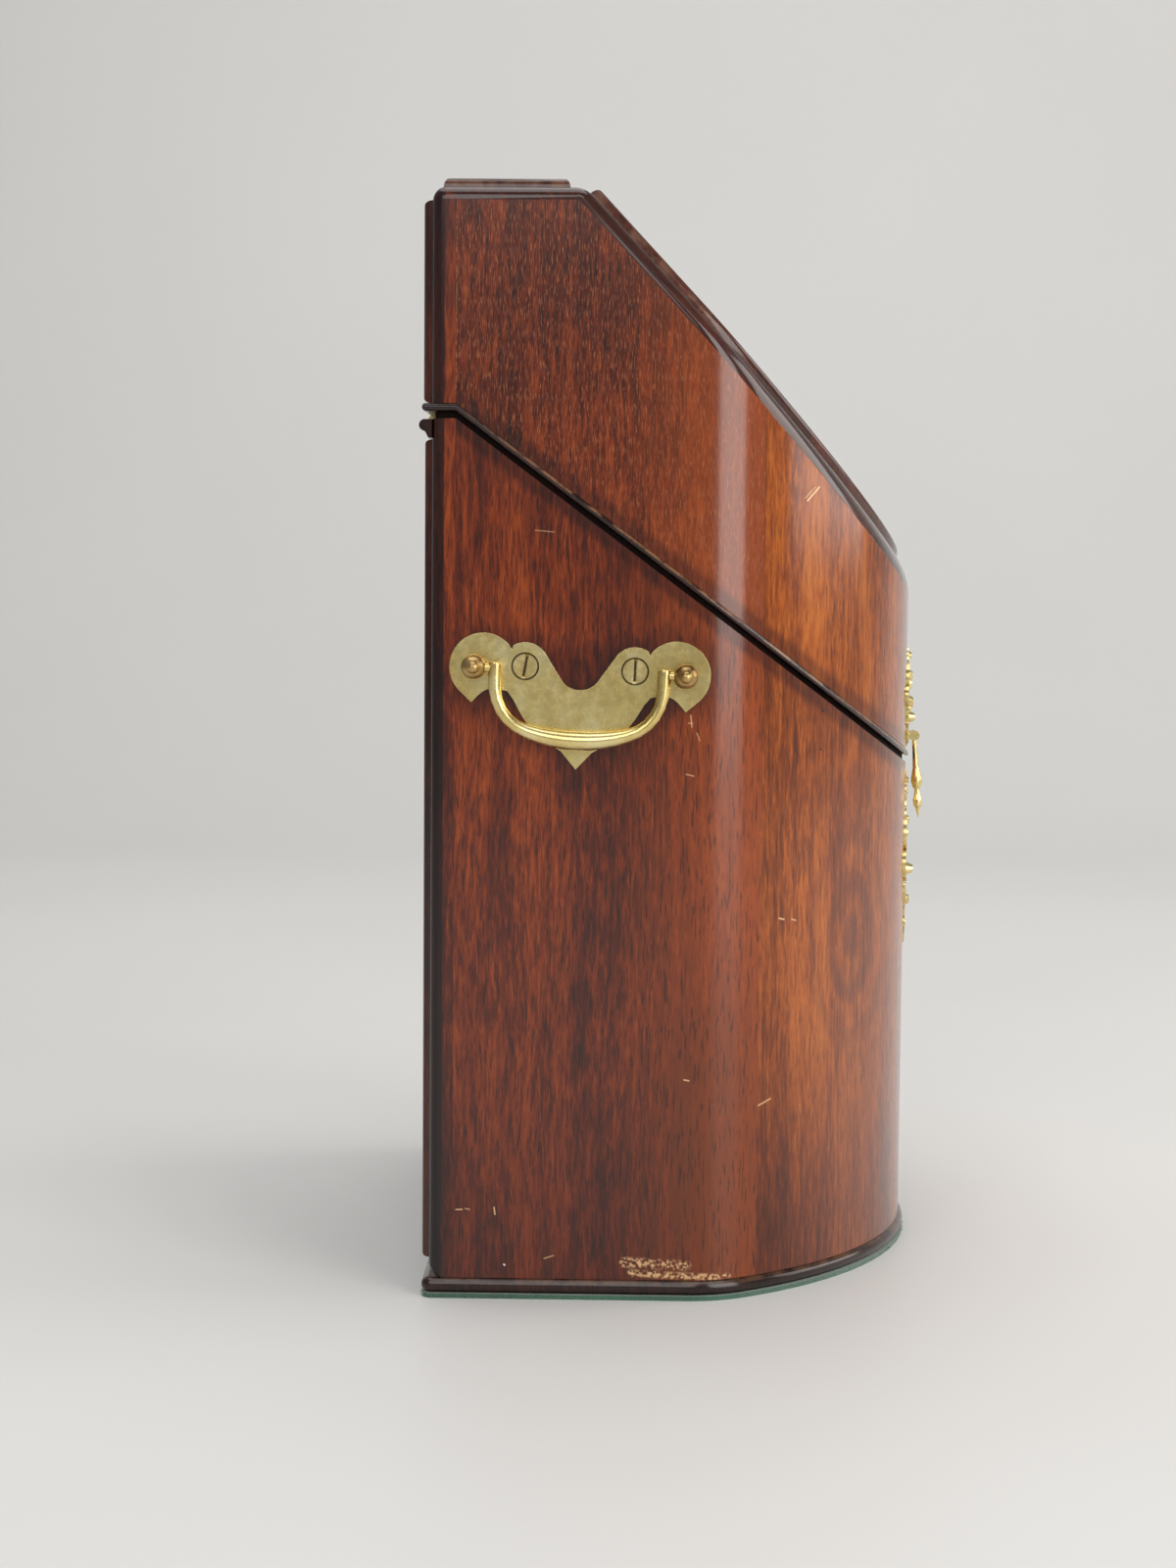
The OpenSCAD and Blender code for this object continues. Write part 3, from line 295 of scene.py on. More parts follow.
def baizeSurface(name, look):
    material, tree, shader = newSurface(name)
    coords = addNode(tree, "ShaderNodeTexCoord").outputs["Object"]
    nap = noise(tree, coords, 1500.0, 5.0, 0.7)
    patch = noise(tree, coords, 30.0, 3.0)
    tone = calc(tree, "ADD", calc(tree, "MULTIPLY", nap, 0.6), calc(tree, "MULTIPLY", patch, 0.4))
    tree.links.new(ramp(tree, remap(tree, tone, 0.3, 0.7), look["stops"]), shader.inputs["Base Color"])
    shader.inputs["Roughness"].default_value = 0.95
    shader.inputs["Sheen Weight"].default_value = 0.5
    shader.inputs["Sheen Roughness"].default_value = 0.6
    bump = addNode(tree, "ShaderNodeBump", {"Height": nap, "Strength": 0.6, "Distance": 0.0004})
    tree.links.new(bump.outputs[0], shader.inputs["Normal"])
    return material


def sideMark(u1, z1, u2, z2, half, most, colour, patchy=False):
    return {"start": (yAt(u1 * mm), z1 * mm), "end": (yAt(u2 * mm), z2 * mm), "half": half * mm, "most": most,
            "colour": colour, "patchy": patchy}


# a darkened stroke of the side, used for grime round the handle and for painted shadow along the seam
def sideGrimeAndShade(u1, z1, u2, z2, half, most):
    return {"start": (yAt(u1 * mm), z1 * mm), "end": (yAt(u2 * mm), z2 * mm), "half": half * mm, "most": most}


pale = (0.7, 0.42, 0.2)
hole = (0.01, 0.004, 0.003)
sideMarks = [
    # u and z of both ends, half width, strength
    sideMark(64, 12.3, 84, 11.4, 2.2, 0.9, pale, True), sideMark(66, 8.8, 97.6, 7.3, 1.6, 0.9, pale, True),
    sideMark(82.7, 72.6, 84.3, 72.3, 0.35, 0.9, pale),
    sideMark(83.6, 190.7, 84, 187, 0.3, 0.7, pale), sideMark(83, 188.2, 84.2, 188.2, 0.3, 0.6, pale),
    sideMark(85.6, 185.1, 86.6, 182.6, 0.25, 0.6, pale), sideMark(82.3, 171.8, 84.8, 171.2, 0.3, 0.6, pale),
    sideMark(9, 29, 11, 29.1, 0.3, 0.9, pale), sideMark(12, 29.4, 13.4, 29.1, 0.3, 0.6, pale),
    sideMark(21.4, 29.9, 21.7, 27.6, 0.35, 0.9, pale),
    sideMark(24.7, 11.1, 25, 10.8, 0.35, 0.9, (0.9, 0.8, 0.7)),
    sideMark(37.8, 13.2, 40.9, 14.2, 0.3, 0.6, pale), sideMark(33.3, 249.4, 39.5, 248.9, 0.25, 0.4, pale),
]
frontMarks = [
    sideMark(113.5, 123.9, 115.1, 123.4, 0.4, 0.9, pale), sideMark(117.8, 123.2, 119.2, 122.7, 0.35, 0.7, pale),
    sideMark(107.3, 62.8, 111.3, 64.5, 0.35, 0.8, pale),
    sideMark(127.4, 191.4, 127.7, 191.1, 0.5, 1.0, hole), sideMark(126.9, 178.8, 127.2, 178.5, 0.4, 1.0, hole),
]
lidFrontMarks = [
    sideMark(125.2, 264.6, 121.2, 260, 0.4, 0.9, (0.8, 0.5, 0.25)),
    sideMark(123.8, 264.5, 120.5, 260.9, 0.25, 0.7, pale),
]
handleGrime = [sideGrimeAndShade(14, 205, 24, 205, 19, 0.7), sideGrimeAndShade(30, 200, 64, 198, 19, 0.7),
               sideGrimeAndShade(72, 204, 82, 203, 19, 0.7), sideGrimeAndShade(48, 176, 48, 190, 14, 0.5)]
# painted shadow of the lid's bead: a dark band on the case just under the seam
seamShadow = [sideGrimeAndShade(7.8, 283.5, 160, 170.2, 4.5, 0.7)]
# the lid is darker along its foot, just above the bead
lidSeamDarkening = [sideGrimeAndShade(7.8, 291, 160, 177.7, 4.5, 0.6)]
# the colours of each wood from its darkest to its palest grain
sideStops = [(0.0, (0.018, 0.003, 0.001)), (0.35, (0.075, 0.01, 0.002)), (0.62, (0.16, 0.023, 0.003)),
             (1.0, (0.32, 0.058, 0.007))]
frontStops = [(0.0, (0.06, 0.011, 0.002)), (0.35, (0.2, 0.04, 0.004)), (0.65, (0.36, 0.085, 0.008)),
              (1.0, (0.5, 0.15, 0.018))]
darkStops = [(0.0, (0.006, 0.002, 0.0015)), (0.5, (0.018, 0.005, 0.003)), (1.0, (0.05, 0.012, 0.006))]
boardStops = [(0.0, (0.012, 0.003, 0.0015)), (0.5, (0.045, 0.009, 0.004)), (1.0, (0.11, 0.022, 0.008))]
# painted shade and reflection: the walls are tinted darker and purplish towards the bottom, where the floor is
# reflected
lowShadeAndReflection = {"axis": 2, "from": 0.13, "to": 0.0, "most": 0.75, "colour": (0.42, 0.3, 0.36), "mode": "MULTIPLY"}
edgeTint = {"axis": 1, "from": backY - 0.0044, "to": backY - 0.0039, "most": 1.0, "colour": (0.16, 0.12, 0.14),
            "mode": "MULTIPLY"}
warmTint = {"axis": 1, "from": 0.03, "to": -0.025, "most": 0.55, "colour": (0.3, 0.06, 0.008)}
looks = {
    "mahoganySide": {
        "stops": sideStops, "fine": 0.4, "band": 0.25, "pores": 0.55, "poreColour": (0.012, 0.003, 0.002),
        "rough": (0.26, 0.4), "coat": 0.9, "coatRough": 0.19, "bump": 0.5, "ripple": 0.3,
        "tints": [lowShadeAndReflection, warmTint], "marks": sideMarks, "grimeAndShade": handleGrime + seamShadow},
    "mahoganyFront": {
        "stops": frontStops, "fine": 0.36, "band": 0.3, "pores": 0.45, "poreColour": (0.05, 0.01, 0.003),
        "rough": (0.24, 0.36), "coat": 0.9, "coatRough": 0.18, "bump": 0.4, "ripple": 0.3,
        "tints": [lowShadeAndReflection], "marks": frontMarks, "grimeAndShade": seamShadow, "shift": (3.1, 0.4, 0.2),
        "eye": {"y": yAt(0.14), "z": 0.115, "squash": 0.42, "rings": 950.0, "reach": 0.024,
                "offset": (3.1, 0.4, 0.2)}},
    "mahoganyLid": {
        "stops": sideStops, "fine": 0.5, "band": 0.22, "pores": 0.6, "poreColour": (0.36, 0.11, 0.04),
        "poreScale": 3000.0, "rough": (0.24, 0.36), "coat": 1.0, "coatRough": 0.18, "bump": 0.6,
        "ripple": 0.6, "rippleScale": 240.0, "tints": [warmTint], "grimeAndShade": lidSeamDarkening,
        "marks": [sideMark(7.8, 292, 7.8, 352, 0.2, 0.45, pale, True)], "shift": (0.7, 1.3, 2.1)},
    "mahoganyLidFront": {
        "stops": frontStops, "fine": 0.36, "band": 0.3, "pores": 0.4, "poreColour": (0.06, 0.012, 0.003),
        "rough": (0.24, 0.36), "coat": 1.0, "coatRough": 0.14, "bump": 0.4, "ripple": 0.4,
        "rippleScale": 150.0, "marks": lidFrontMarks, "grimeAndShade": lidSeamDarkening, "shift": (2.1, 4.4, 0.7)},
    "mahoganyBack": {
        "stops": sideStops, "fine": 0.42, "band": 0.25, "pores": 0.5, "poreColour": (0.012, 0.003, 0.002),
        "rough": (0.26, 0.4), "coat": 0.9, "coatRough": 0.19, "tints": [lowShadeAndReflection, edgeTint],
        "shift": (1.5, 0, 0)},
    "mahoganyTop": {
        "stops": boardStops, "fine": 0.4, "band": 0.3, "pores": 0.45, "poreColour": (0.01, 0.003, 0.002),
        "rough": (0.22, 0.34), "coat": 1.0, "coatRough": 0.12, "turn": (math.radians(45), 0, 0)},
    "panelDark": {
        "stops": boardStops, "fine": 0.4, "band": 0.3, "pores": 0.4, "poreColour": (0.01, 0.004, 0.003),
        "rough": (0.24, 0.36), "coat": 0.9, "coatRough": 0.12, "shift": (5.0, 0, 0),
        "wearAndHighlight": {"most": 0.3, "colour": (0.3, 0.16, 0.1)}},
    "mouldingDark": {
        "stops": darkStops, "fine": 0.4, "band": 0.3, "pores": 0.3, "poreColour": (0.004, 0.002, 0.002),
        "rough": (0.25, 0.42), "coat": 0.8, "coatRough": 0.15,
        "wearAndHighlight": {"most": 0.8, "colour": (0.36, 0.17, 0.08)}},
    "ebonised": {
        "stops": [(place, tuple(c * 0.25 for c in colour)) for place, colour in darkStops], "fine": 0.4,
        "band": 0.3, "pores": 0.2, "poreColour": (0.001, 0.001, 0.001), "rough": (0.5, 0.7)},
    "deal": {
        "stops": [(0.0, (0.2, 0.1, 0.045)), (0.5, (0.36, 0.2, 0.095)), (1.0, (0.5, 0.31, 0.16))], "fine": 0.4,
        "band": 0.4, "pores": 0.4, "poreColour": (0.14, 0.07, 0.03), "rough": (0.55, 0.75)},
}
surfaces = {name: woodSurface(name, look) for name, look in looks.items()}
# the side handle: its plate's place, its bail and its two screws
handle = {
    "u": 48 * mm,
    "z": 204.6 * mm,
    "tilt": math.radians(-2.2),
    "pivotOut": 6.3 * mm,
    "armX": 27 * mm,
    "pinEnd": 32.8 * mm,
    "pinRadius": 1.5 * mm,
    "screwX": 17.6 * mm,
    "screwY": 0.75 * mm,
    "screwRadius": 4.2 * mm,
    "ringHalf": 0.42 * mm,
    "slotHalf": 0.62 * mm,
    "slotReach": 3.7 * mm,
}


def onHandle(x, y):
    # a point of the handle's own plane as (y, z) of the side
    c, d = math.cos(handle["tilt"]), math.sin(handle["tilt"])
    return (yAt(handle["u"]) - (x * c - y * d), handle["z"] + x * d + y * c)


screws = []
for k, lean in ((-1, math.radians(-8)), (1, 0)):
    screwX = k * handle["screwX"]
    start, end = [onHandle(screwX - math.sin(lean) * reach, handle["screwY"] + math.cos(lean) * reach)
                  for reach in (-handle["slotReach"], handle["slotReach"])]
    screws.append({"middle": onHandle(screwX, handle["screwY"]), "radius": handle["screwRadius"],
                   "half": handle["ringHalf"], "start": start, "end": end, "slotHalf": handle["slotHalf"]})
surfaces["brass"] = brassSurface("brass", {
    "stops": [(0.0, (0.62, 0.47, 0.17)), (0.5, (0.72, 0.58, 0.25)), (1.0, (0.8, 0.69, 0.36))], "spots": 0.08,
    "spotColour": (0.36, 0.24, 0.08), "copper": 0.12, "rough": (0.22, 0.3), "bump": 0.08, "screws": screws})
surfaces["oldBrass"] = brassSurface("oldBrass", {
    "stops": [(0.0, (0.28, 0.16, 0.06)), (0.5, (0.5, 0.34, 0.13)), (1.0, (0.66, 0.5, 0.24))], "spots": 0.5,
    "spotColour": (0.16, 0.07, 0.03), "copper": 0.6, "rough": (0.25, 0.42), "bump": 0.6})
surfaces["copperScrew"] = brassSurface("copperScrew", {
    "stops": [(0.0, (0.6, 0.42, 0.16)), (0.5, (0.74, 0.58, 0.26)), (1.0, (0.84, 0.7, 0.36))], "spots": 0.15,
    "spotColour": (0.16, 0.08, 0.03), "copper": 0.35, "rough": (0.2, 0.3), "bump": 0.2, "screws": screws,
    "slots": True})
surfaces["iron"] = brassSurface("iron", {
    "stops": [(0.0, (0.2, 0.19, 0.18)), (1.0, (0.42, 0.41, 0.4))], "spots": 0.5,
    "spotColour": (0.12, 0.07, 0.05), "copper": 0.0, "rough": (0.4, 0.6), "bump": 0.3})
surfaces["baize"] = baizeSurface("baize", {"stops": [(0.0, (0.012, 0.045, 0.025)), (1.0, (0.05, 0.16, 0.09))]})
print("stage: finishes made,", len(surfaces))


def finishPiece(name, bm, body, surface, nodes, bevel=0.0, sharp=32.0):
    # the mesh becomes a piece that rides on a body and stands for its nodes
    bmesh.ops.recalc_face_normals(bm, faces=bm.faces[:])
    mesh = bpy.data.meshes.new(name)
    bm.to_mesh(mesh)
    bm.free()
    if "custom_normal" in mesh.attributes:
        mesh.attributes.remove(mesh.attributes["custom_normal"])
    mesh.materials.clear()
    mesh.materials.append(surfaces[surface])
    mesh.polygons.foreach_set("material_index", [0] * len(mesh.polygons))
    mesh.shade_smooth()
    mesh.set_sharp_from_angle(angle=math.radians(sharp))
    piece = bpy.data.objects.new(name, mesh)
    bpy.context.scene.collection.objects.link(piece)
    if bevel:
        edge = piece.modifiers.new("softEdge", "BEVEL")
        edge.width = bevel
        edge.segments = 2
        edge.limit_method = "ANGLE"
        edge.angle_limit = math.radians(38)
        edge.harden_normals = True
    even = piece.modifiers.new("evenShade", "WEIGHTED_NORMAL")
    even.keep_sharp = True
    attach(piece, body)
    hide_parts(*nodes)
    return piece


def nodeBody(nodeName):
    return next(b for b, members in frame["record"]["behaviour"]["bodies"].items() if nodeName in members)


def refine(nodeName, name, surface, bevel):
    # a merged copy of a node with clean shading and softened edges
    bm = bmesh.new()
    bm.from_mesh(cadNodes[nodeName].data)
    bmesh.ops.remove_doubles(bm, verts=bm.verts[:], dist=2e-6)
    bmesh.ops.dissolve_limit(bm, angle_limit=math.radians(0.4), verts=bm.verts[:], edges=bm.edges[:])
    return finishPiece(name, bm, nodeBody(nodeName), surface, [nodeName], bevel)


def outlineLoop(bm, out, backOut, height, backCorner=0.0):
    # the case's plan as one closed loop of edges: half of it by extrusion and spin, then mirrored
    before = set(bm.edges)
    old = set(bm.verts)
    edgeX = case["width"] / 2 + out
    rear = backY + backOut
    turn = max(backCorner + out, 0.0004) if backCorner else 0.0

    def stepTo(vertex, x, y):
        new = bmesh.ops.extrude_vert_indiv(bm, verts=[vertex])["verts"][0]
        new.co = (x, y, height)
        return new

    def sweep(vertex, x, y, angle, steps):
        made = bmesh.ops.spin(bm, geom=[vertex], cent=(x, y, height), axis=(0, 0, 1), angle=angle, steps=steps,
                              use_duplicate=False)
        return [g for g in made["geom_last"] if isinstance(g, bmesh.types.BMVert)][0]

    vertex = bm.verts.new((0, rear, height))
    vertex = stepTo(vertex, edgeX - turn, rear)
    if turn:
        vertex = sweep(vertex, edgeX - turn, rear - turn, -math.pi / 2, 6)
    boardY = yAt(case["backBoard"])
    vertex = stepTo(vertex, edgeX, boardY if rear - turn > boardY + 1e-5 else rear - turn - 2e-5)
    flat = case["flatLength"] - case["backBoard"]
    for share in (0.33, 0.66, 1.0):
        vertex = stepTo(vertex, edgeX, yAt(case["backBoard"] + share * flat))
    vertex = sweep(vertex, midX, yAt(case["flatLength"]), -cornerTurn, 12)
    vertex = sweep(vertex, 0, yAt(bowCentre), -(math.pi / 2 - cornerTurn), 30)
    vertex.co.x = 0
    half = [v for v in bm.verts if v not in old] + [e for e in bm.edges if e not in before]
    bmesh.ops.mirror(bm, geom=half, matrix=Matrix(), merge_dist=1e-6, axis="X")
    return [e for e in bm.edges if e not in before]


def loftLoops(levels, closed=True, backCorner=0.0):
    # loops of the plan joined one to the next; each level is (outwards, outwards at the back, height)
    bm = bmesh.new()
    loops = [outlineLoop(bm, *level, backCorner=backCorner) for level in levels]
    pairs = list(zip(loops, loops[1:])) + ([(loops[-1], loops[0])] if closed else [])
    for a, b in pairs:
        bmesh.ops.bridge_loops(bm, edges=a + b)
    if not closed:
        for loop in (loops[0], loops[-1]):
            bmesh.ops.contextual_create(bm, geom=loop)
    return bm


def cutAway(bm, point, normal):
    # removes what lies on the normal's side and closes the cut
    cut = bmesh.ops.bisect_plane(bm, geom=bm.verts[:] + bm.edges[:] + bm.faces[:], plane_co=point,
                                 plane_no=normal, clear_outer=True, dist=1e-7)
    edges = [e for e in cut["geom_cut"] if isinstance(e, bmesh.types.BMEdge)]
    bmesh.ops.holes_fill(bm, edges=edges, sides=0)


def wallPiece(name, fromU, toU, side, low, high, cuts, body, surface, node):
    bm = loftLoops([(0, 0, low), (0, 0, high), (-case["wall"], -case["backBoard"], high),
                    (-case["wall"], -case["backBoard"], low)])
    cutAway(bm, (0, yAt(fromU), 0), (0, 1, 0))
    if toU < depth:
        cutAway(bm, (0, yAt(toU), 0), (0, -1, 0))
    for point, normal in cuts:
        cutAway(bm, point, normal)
    if side:
        bmesh.ops.delete(bm, geom=[v for v in bm.verts if v.co.x * side < 0], context="VERTS")
    return finishPiece(name, bm, body, surface, [node], bevel=0.0002)


seamPoint = Vector((0, yAt(case["backBoard"]), case["rim"]))
seamUp = Vector((0, -case["seamFall"], 1)).normalized()
slopePoint = Vector((0, yAt(case["slopeStart"]), case["lidTop"]))
slopeUp = Vector((0, -case["slopeFall"], 1)).normalized()
lidLift = Vector((0, 0, case["seamGap"] + case["bead"]))
# levels between which a wall is drawn before its cuts
wallLow = case["baize"] + case["foot"]
lidLow = 0.15
rimCut = [(seamPoint, seamUp)]
lidCuts = [(seamPoint + lidLift, -seamUp), (slopePoint, slopeUp), (Vector((0, 0, case["lidTop"])), (0, 0, 1))]
tall = 0.4
for side, word in ((-1, "left"), (1, "right")):
    wallPiece(word + "CaseWall", case["backBoard"], case["joint"], side, wallLow, tall, rimCut, "case",
              "mahoganySide", word + "_side")
    wallPiece(word + "LidWall", case["backBoard"], case["joint"], side, lidLow, tall, lidCuts, "lid",
              "mahoganyLid", "lid_" + word + "_side")
wallPiece("bowFront", case["joint"], 1, 0, wallLow, tall, rimCut, "case", "mahoganyFront", "bow_front")
wallPiece("lidBowFront", case["joint"], 1, 0, lidLow, tall, lidCuts, "lid", "mahoganyLidFront", "lid_front")
print("stage: walls made")


def noseLevels(out, backOut, low, height, steps=10):
    # a half-round nose between two inner loops
    nose = height / 2
    levels = [(-case["wall"], -case["backBoard"] + 0.0005, low)]
    for i in range(steps + 1):
        angle = -math.pi / 2 + math.pi * i / steps
        inward = nose * (1 - math.cos(angle))
        levels.append((out - inward, backOut - inward, low + nose + nose * math.sin(angle)))
    levels.append((-case["wall"], -case["backBoard"] + 0.0005, low + height))
    return levels


def seamDrop(y):
    # how far the seam has fallen at y
    return max(0.0, yAt(case["backBoard"]) - y) * case["seamFall"]


def paintWearAndHighlight(piece, rule):
    values = [rule(v.co) for v in piece.data.vertices]
    piece.data.attributes.new("wearAndHighlight", "FLOAT", "POINT").data.foreach_set("value", values)


foot = {"out": 1.6 * mm, "backOut": 2.4 * mm, "backCorner": 2 * mm, "baizeIn": 0.3 * mm, "wornFrom": 5.2 * mm}
bm = loftLoops(noseLevels(foot["out"], foot["backOut"], case["baize"], case["foot"]),
               backCorner=foot["backCorner"])
piece = finishPiece("baseMoulding", bm, "case", "mouldingDark", ["base_moulding"], sharp=50)
paintWearAndHighlight(piece, lambda co: 0.25 if co.z > foot["wornFrom"] else 0.0)

bead = {"out": 0.9 * mm, "backOut": 3.0 * mm, "wornFrom": 1.7 * mm, "wornAhead": 8 * mm}
beadLow = case["rim"] + case["seamGap"]
bm = loftLoops(noseLevels(bead["out"], bead["backOut"], beadLow, case["bead"]))
for vertex in bm.verts:
    vertex.co.z -= seamDrop(vertex.co.y)
piece = finishPiece("lidBead", bm, "lid", "mouldingDark", ["lid_bead"], sharp=50)
# the bead's upper ridge, away from the back, is painted paler: partly real wear, partly a painted highlight
# where the top of the bead catches the light
paintWearAndHighlight(piece, lambda co: 0.75 if co.y < backY - bead["wornAhead"]
          and co.z + seamDrop(co.y) - beadLow > bead["wornFrom"] else 0.0)

padOut = foot["out"] - foot["baizeIn"]
padBack = foot["backOut"] - foot["baizeIn"]
bm = loftLoops([(padOut, padBack, 0), (padOut, padBack, case["baize"])], closed=False,
               backCorner=foot["backCorner"])
# short fibres stand out of the baize's cut edge
fibre = {"pitch": 0.35 * mm, "spread": 0.6, "shortest": 0.5 * mm, "longest": 1.4 * mm, "sunk": 0.3 * mm,
         "lowest": 0.3 * mm, "highest": 1.3 * mm, "rise": 0.4, "root": 0.07 * mm, "tip": 0.02 * mm}
draws = random.Random(4)
rim = [(v.co.copy(), e.other_vert(v).co.copy()) for e in bm.edges for v in e.verts[:1]
       if all(abs(w.co.z) < 1e-6 for w in e.verts)]
for a, b in rim:
    for _ in range(max(1, int((b - a).length / fibre["pitch"]))):
        base = a.lerp(b, draws.random())
        outward = Vector((base.x, min(0, base.y - yAt(case["flatLength"])), 0))
        if base.y > backY:
            outward = Vector((0, 1, 0))
        sway = Vector([draws.uniform(-fibre["spread"], fibre["spread"]) for _ in range(3)])
        aim = (outward.normalized() + sway).normalized()
        length = draws.uniform(fibre["shortest"], fibre["longest"])
        place = base - aim * fibre["sunk"] + Vector((0, 0, draws.uniform(fibre["lowest"], fibre["highest"])))
        aim.z = abs(aim.z) * fibre["rise"]
        turn = aim.to_track_quat("Z", "Y").to_matrix().to_4x4()
        bmesh.ops.create_cone(bm, cap_ends=True, segments=3, radius1=fibre["root"], radius2=fibre["tip"],
                              depth=length, matrix=Matrix.Translation(place + aim * length / 2) @ turn)
finishPiece("baizePad", bm, "case", "baize", ["baize_pad"])
print("stage: mouldings made")

copies = [
    # node, piece, surface, slot, bevel
    ("back_board", "backBoard", "mahoganyBack", "mahogany", 0.0),
    ("back_panel", "backPanel", "panelDark", "panel", 0.0),
    ("stop_rail", "stopRail", "mouldingDark", "moulding", 0.0002),
    ("lid_back", "lidBack", "mahoganyBack", "mahogany", 0.0),
    ("lid_top_board", "lidTop", "mahoganyTop", "mahogany", 0.0),
    ("lid_slope_board", "lidSlope", "mahoganyTop", "mahogany", 0.0),
    ("lid_back_panel", "lidBackPanel", "panelDark", "panel", 0.0),
    ("lid_top_panel", "lidTopPanel", "panelDark", "panel", 0.0),
    ("lid_slope_panel", "lidSlopePanel", "panelDark", "panel", 0.0),
    ("keyhole_plate", "keyholePlate", "brass", "brass", 0.0003),
    ("pull_plate", "pullPlate", "brass", "brass", 0.0003),
    ("pull_post", "pullPost", "brass", "brass", 0.0002),
    ("drop_pull", "dropPull", "brass", "brass", 0.0),
]
for word in ("left", "right"):
    copies += [
        (word + "_handle_plate", word + "HandlePlate", "brass", "brass", 0.0005),
        (word + "_handle_posts", word + "HandlePosts", "oldBrass", "brass", 0.0003),
        (word + "_handle_screws", word + "HandleScrews", "copperScrew", "brass", 0.0002),
    ]
for nodeName, name, surface, slotName, bevel in copies:
    refine(nodeName, name, surface, bevel)
# the two upper panels are worn towards the sides
wornEdge = case["width"] / 2 - 6.4 * mm
for name in ("lidTopPanel", "lidSlopePanel"):
    paintWearAndHighlight(bpy.data.objects[name], lambda co: 1.0 if abs(co.x) > wornEdge else 0.0)
print("stage: boards and brass made,", len(copies))

# the bail: a rod along a curve from post to post, swelling at the grip
# x, y and radius in millimetres from the grip's middle to an arm's end
bailHalf = [(0, -22.1, 3.0), (4, -22.0, 2.95), (8, -21.6, 2.8), (12, -20.9, 2.5), (16, -19.8, 2.2),
            (19.5, -18.3, 2.02), (22.4, -16.1, 1.95), (24.6, -13.3, 1.95), (26.1, -10.0, 1.95),
            (26.8, -6.5, 1.97), (27, -3, 2.05), (27, -0.5, 2.15), (27, 1.2, 2.15), (27, 1.9, 2.0)]
for side, word in ((-1, "left"), (1, "right")):
    path = [(-x, y, r) for x, y, r in bailHalf[:0:-1]] + bailHalf
    bm = bmesh.new()
    rings = []
    for i, (x, y, r) in enumerate(path):
        before = path[max(i - 1, 0)]
        after = path[min(i + 1, len(path) - 1)]
        along = Vector((after[0] - before[0], after[1] - before[1], 0)).normalized()
        turn = along.to_track_quat("Z", "X").to_matrix().to_4x4()
        made = bmesh.ops.create_circle(bm, cap_ends=False, segments=28, radius=r * mm,
                                       matrix=Matrix.Translation((x * mm, y * mm, 0)) @ turn)
        rings.append(list({e for v in made["verts"] for e in v.link_edges}))
    for a, b in zip(rings, rings[1:]):
        bmesh.ops.bridge_loops(bm, edges=a + b)
    bmesh.ops.holes_fill(bm, edges=rings[0] + rings[-1], sides=0)
    for k in (-1, 1):
        pinLength = handle["pinEnd"] - handle["armX"]
        turn = Matrix.Rotation(math.pi / 2, 4, "Y")
        place = Matrix.Translation((k * (handle["armX"] + pinLength / 2), 0, 0))
        bmesh.ops.create_cone(bm, cap_ends=True, segments=24, radius1=handle["pinRadius"],
                              radius2=handle["pinRadius"], depth=pinLength, matrix=place @ turn)
    local = Matrix.Rotation(handle["tilt"], 4, "Z")
    out = Matrix.Translation((0, 0, handle["pivotOut"]))
    # the handle's plane stood up on the left side
    stand = Matrix(((0, 0, -1, -case["width"] / 2), (-1, 0, 0, yAt(handle["u"])), (0, 1, 0, handle["z"]),
                    (0, 0, 0, 1)))
    bmesh.ops.transform(bm, matrix=stand @ local @ out, verts=bm.verts[:])
    if side > 0:
        bmesh.ops.scale(bm, vec=(-1, 1, 1), verts=bm.verts[:])
    finishPiece(word + "Bail", bm, word + "_bail", "brass", [word + "_bail"], bevel=0.0003, sharp=45)
print("stage: bails made")

# every other node keeps its own shape and takes its finish by slot
slotSurface = {"baize": "baize", "moulding": "mouldingDark", "carcase": "deal", "mahogany": "mahoganySide",
               "panel": "panelDark", "ebonised": "ebonised", "brass": "brass", "lock_brass": "oldBrass",
               "steel": "iron"}
for part in frame["record"]["subparts"]:
    node = cadNodes[part["node"]]
    node.data.materials.clear()
    node.data.materials.append(surfaces[slotSurface[part["material_slot"]]])
print("stage: nodes finished")


def stageSurface(name, colour, roughness):
    material, tree, shader = newSurface(name)
    coords = addNode(tree, "ShaderNodeTexCoord").outputs["Object"]
    tone = remap(tree, noise(tree, coords, 3.0, 4.0), 0.3, 0.7)
    mixed = blendColour(tree, tone, (*[c * 0.985 for c in colour], 1), (*colour, 1))
    tree.links.new(mixed, shader.inputs["Base Color"])
    shader.inputs["Roughness"].default_value = roughness
    return material


# the floor turns up into a wall beyond the box; glossy and cameraSees are the world's strengths
room = {"floor": (0.74, 0.73, 0.71), "rough": 0.5, "nearX": -4, "wallX": 2.2, "height": 3.0, "turnRadius": 0.9,
        "wide": 7.0, "glossy": 0.28, "cameraSees": 0.75, "sky": (0.94, 0.97, 1.0, 1)}
bm = bmesh.new()
edge = bmesh.ops.extrude_vert_indiv(bm, verts=[bm.verts.new((room["nearX"], -room["wide"], 0))])["verts"][0]
edge.co = (room["wallX"] - room["turnRadius"], -room["wide"], 0)
bent = bmesh.ops.spin(bm, geom=[edge], cent=(edge.co.x, -room["wide"], room["turnRadius"]), axis=(0, -1, 0),
                      angle=math.pi / 2, steps=16, use_duplicate=False)
last = [g for g in bent["geom_last"] if isinstance(g, bmesh.types.BMVert)][0]
top = bmesh.ops.extrude_vert_indiv(bm, verts=[last])["verts"][0]
top.co.z = room["height"]
swept = bmesh.ops.extrude_edge_only(bm, edges=bm.edges[:])
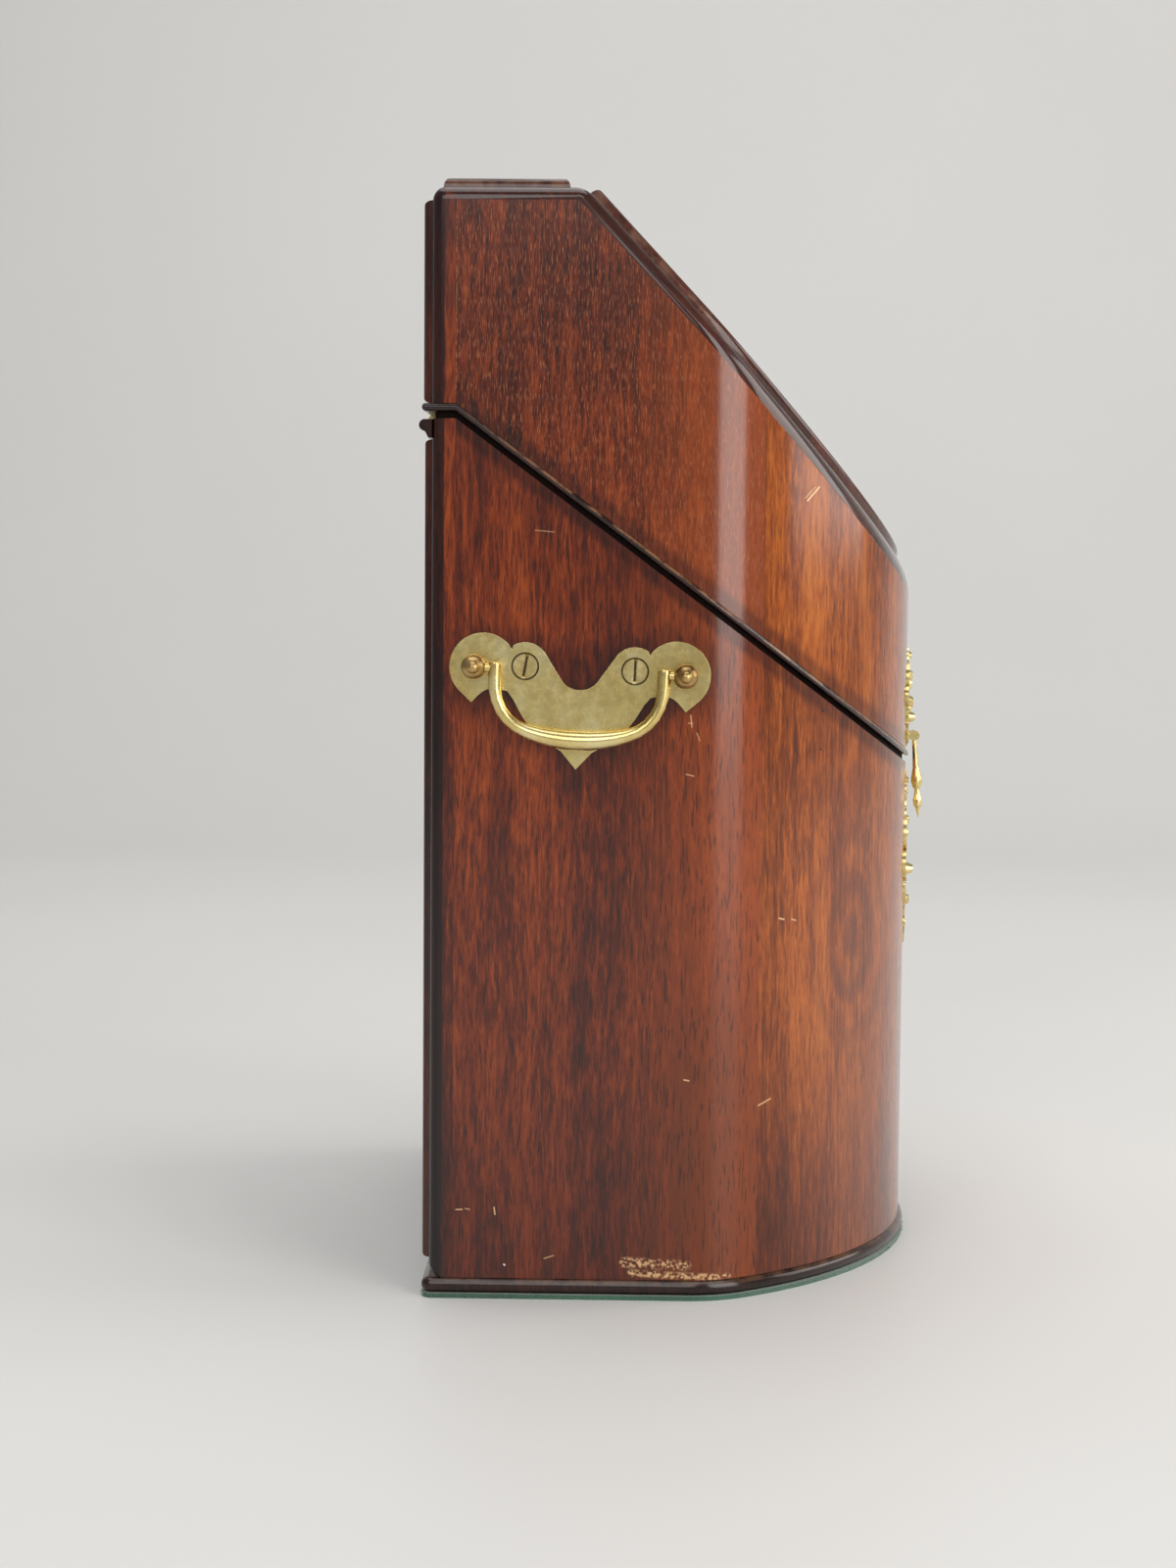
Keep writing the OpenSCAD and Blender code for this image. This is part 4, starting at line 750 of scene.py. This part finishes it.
bmesh.ops.translate(bm, verts=[g for g in swept["geom"] if isinstance(g, bmesh.types.BMVert)],
                    vec=(0, 2 * room["wide"], 0))
mesh = bpy.data.meshes.new("floor")
bm.to_mesh(mesh)
bm.free()
mesh.shade_smooth()
floor = bpy.data.objects.new("floor", mesh)
floor.data.materials.append(stageSurface("floorPaint", room["floor"], room["rough"]))
bpy.context.scene.collection.objects.link(floor)

world = bpy.data.worlds.new("room")
bpy.context.scene.world = world
world.use_nodes = True
rays = addNode(world.node_tree, "ShaderNodeLightPath")
strength = remap(world.node_tree, rays.outputs["Is Camera Ray"], 0.0, 1.0, room["glossy"], room["cameraSees"])
world.node_tree.links.new(strength, world.node_tree.nodes["Background"].inputs["Strength"])
world.node_tree.nodes["Background"].inputs["Color"].default_value = room["sky"]


def softLight(name, place, aim, width, height, power, colour):
    data = bpy.data.lights.new(name, "AREA")
    data.shape = "RECTANGLE"
    data.size = width
    data.size_y = height
    data.energy = power
    data.color = colour
    lamp = bpy.data.objects.new(name, data)
    lamp.location = place
    lamp.rotation_euler = (Vector(aim) - Vector(place)).to_track_quat("-Z", "Y").to_euler()
    bpy.context.scene.collection.objects.link(lamp)


middle = (0, 0, 0.18)
softLight("windowLight", (-1.5, -1.35, 0.7), middle, 1.1, 1.3, 20, (1.0, 0.98, 0.95))
softLight("cameraLight", (-2.6, 0.5, 1.5), middle, 2.2, 1.4, 24, (1.0, 0.99, 0.97))
softLight("frontLight", (0.3, -2.2, 0.9), middle, 1.5, 1.3, 18, (1.0, 0.97, 0.93))
softLight("topLight", (0.2, 0.1, 2.2), middle, 2.0, 2.0, 26, (1.0, 1.0, 1.0))

# camera: square to the left side, as fitted to the photograph
view = {"lens": 61.98, "pitch": math.radians(4.4131), "roll": math.radians(0.4798), "height": 0.2351,
        "right": 50.83 * mm, "ahead": 865.7 * mm, "sideways": 0.01921, "straight": 0.99982}
across = Vector((view["sideways"], -view["straight"], 0))
ahead = Vector((view["straight"], view["sideways"], 0))
eye = Vector((-case["width"] / 2, backY, 0)) + view["right"] * across - view["ahead"] * ahead
eye.z = view["height"]
up = Vector((0, 0, 1))
sight = ahead * math.cos(view["pitch"]) - up * math.sin(view["pitch"])
upright = ahead * math.sin(view["pitch"]) + up * math.cos(view["pitch"])
axisX = across * math.cos(view["roll"]) + upright * math.sin(view["roll"])
axisY = -across * math.sin(view["roll"]) + upright * math.cos(view["roll"])
camera = bpy.data.objects.new("camera", bpy.data.cameras.new("camera"))
camera.data.sensor_width = 36
camera.data.lens = view["lens"]
camera.data.clip_start = 0.01
camera.matrix_world = Matrix.Translation(eye) @ Matrix((axisX, axisY, -sight)).transposed().to_4x4()
bpy.context.scene.collection.objects.link(camera)
bpy.context.scene.camera = camera
bpy.context.scene.view_settings.view_transform = "Standard"
print("stage: room, lamps and camera made")
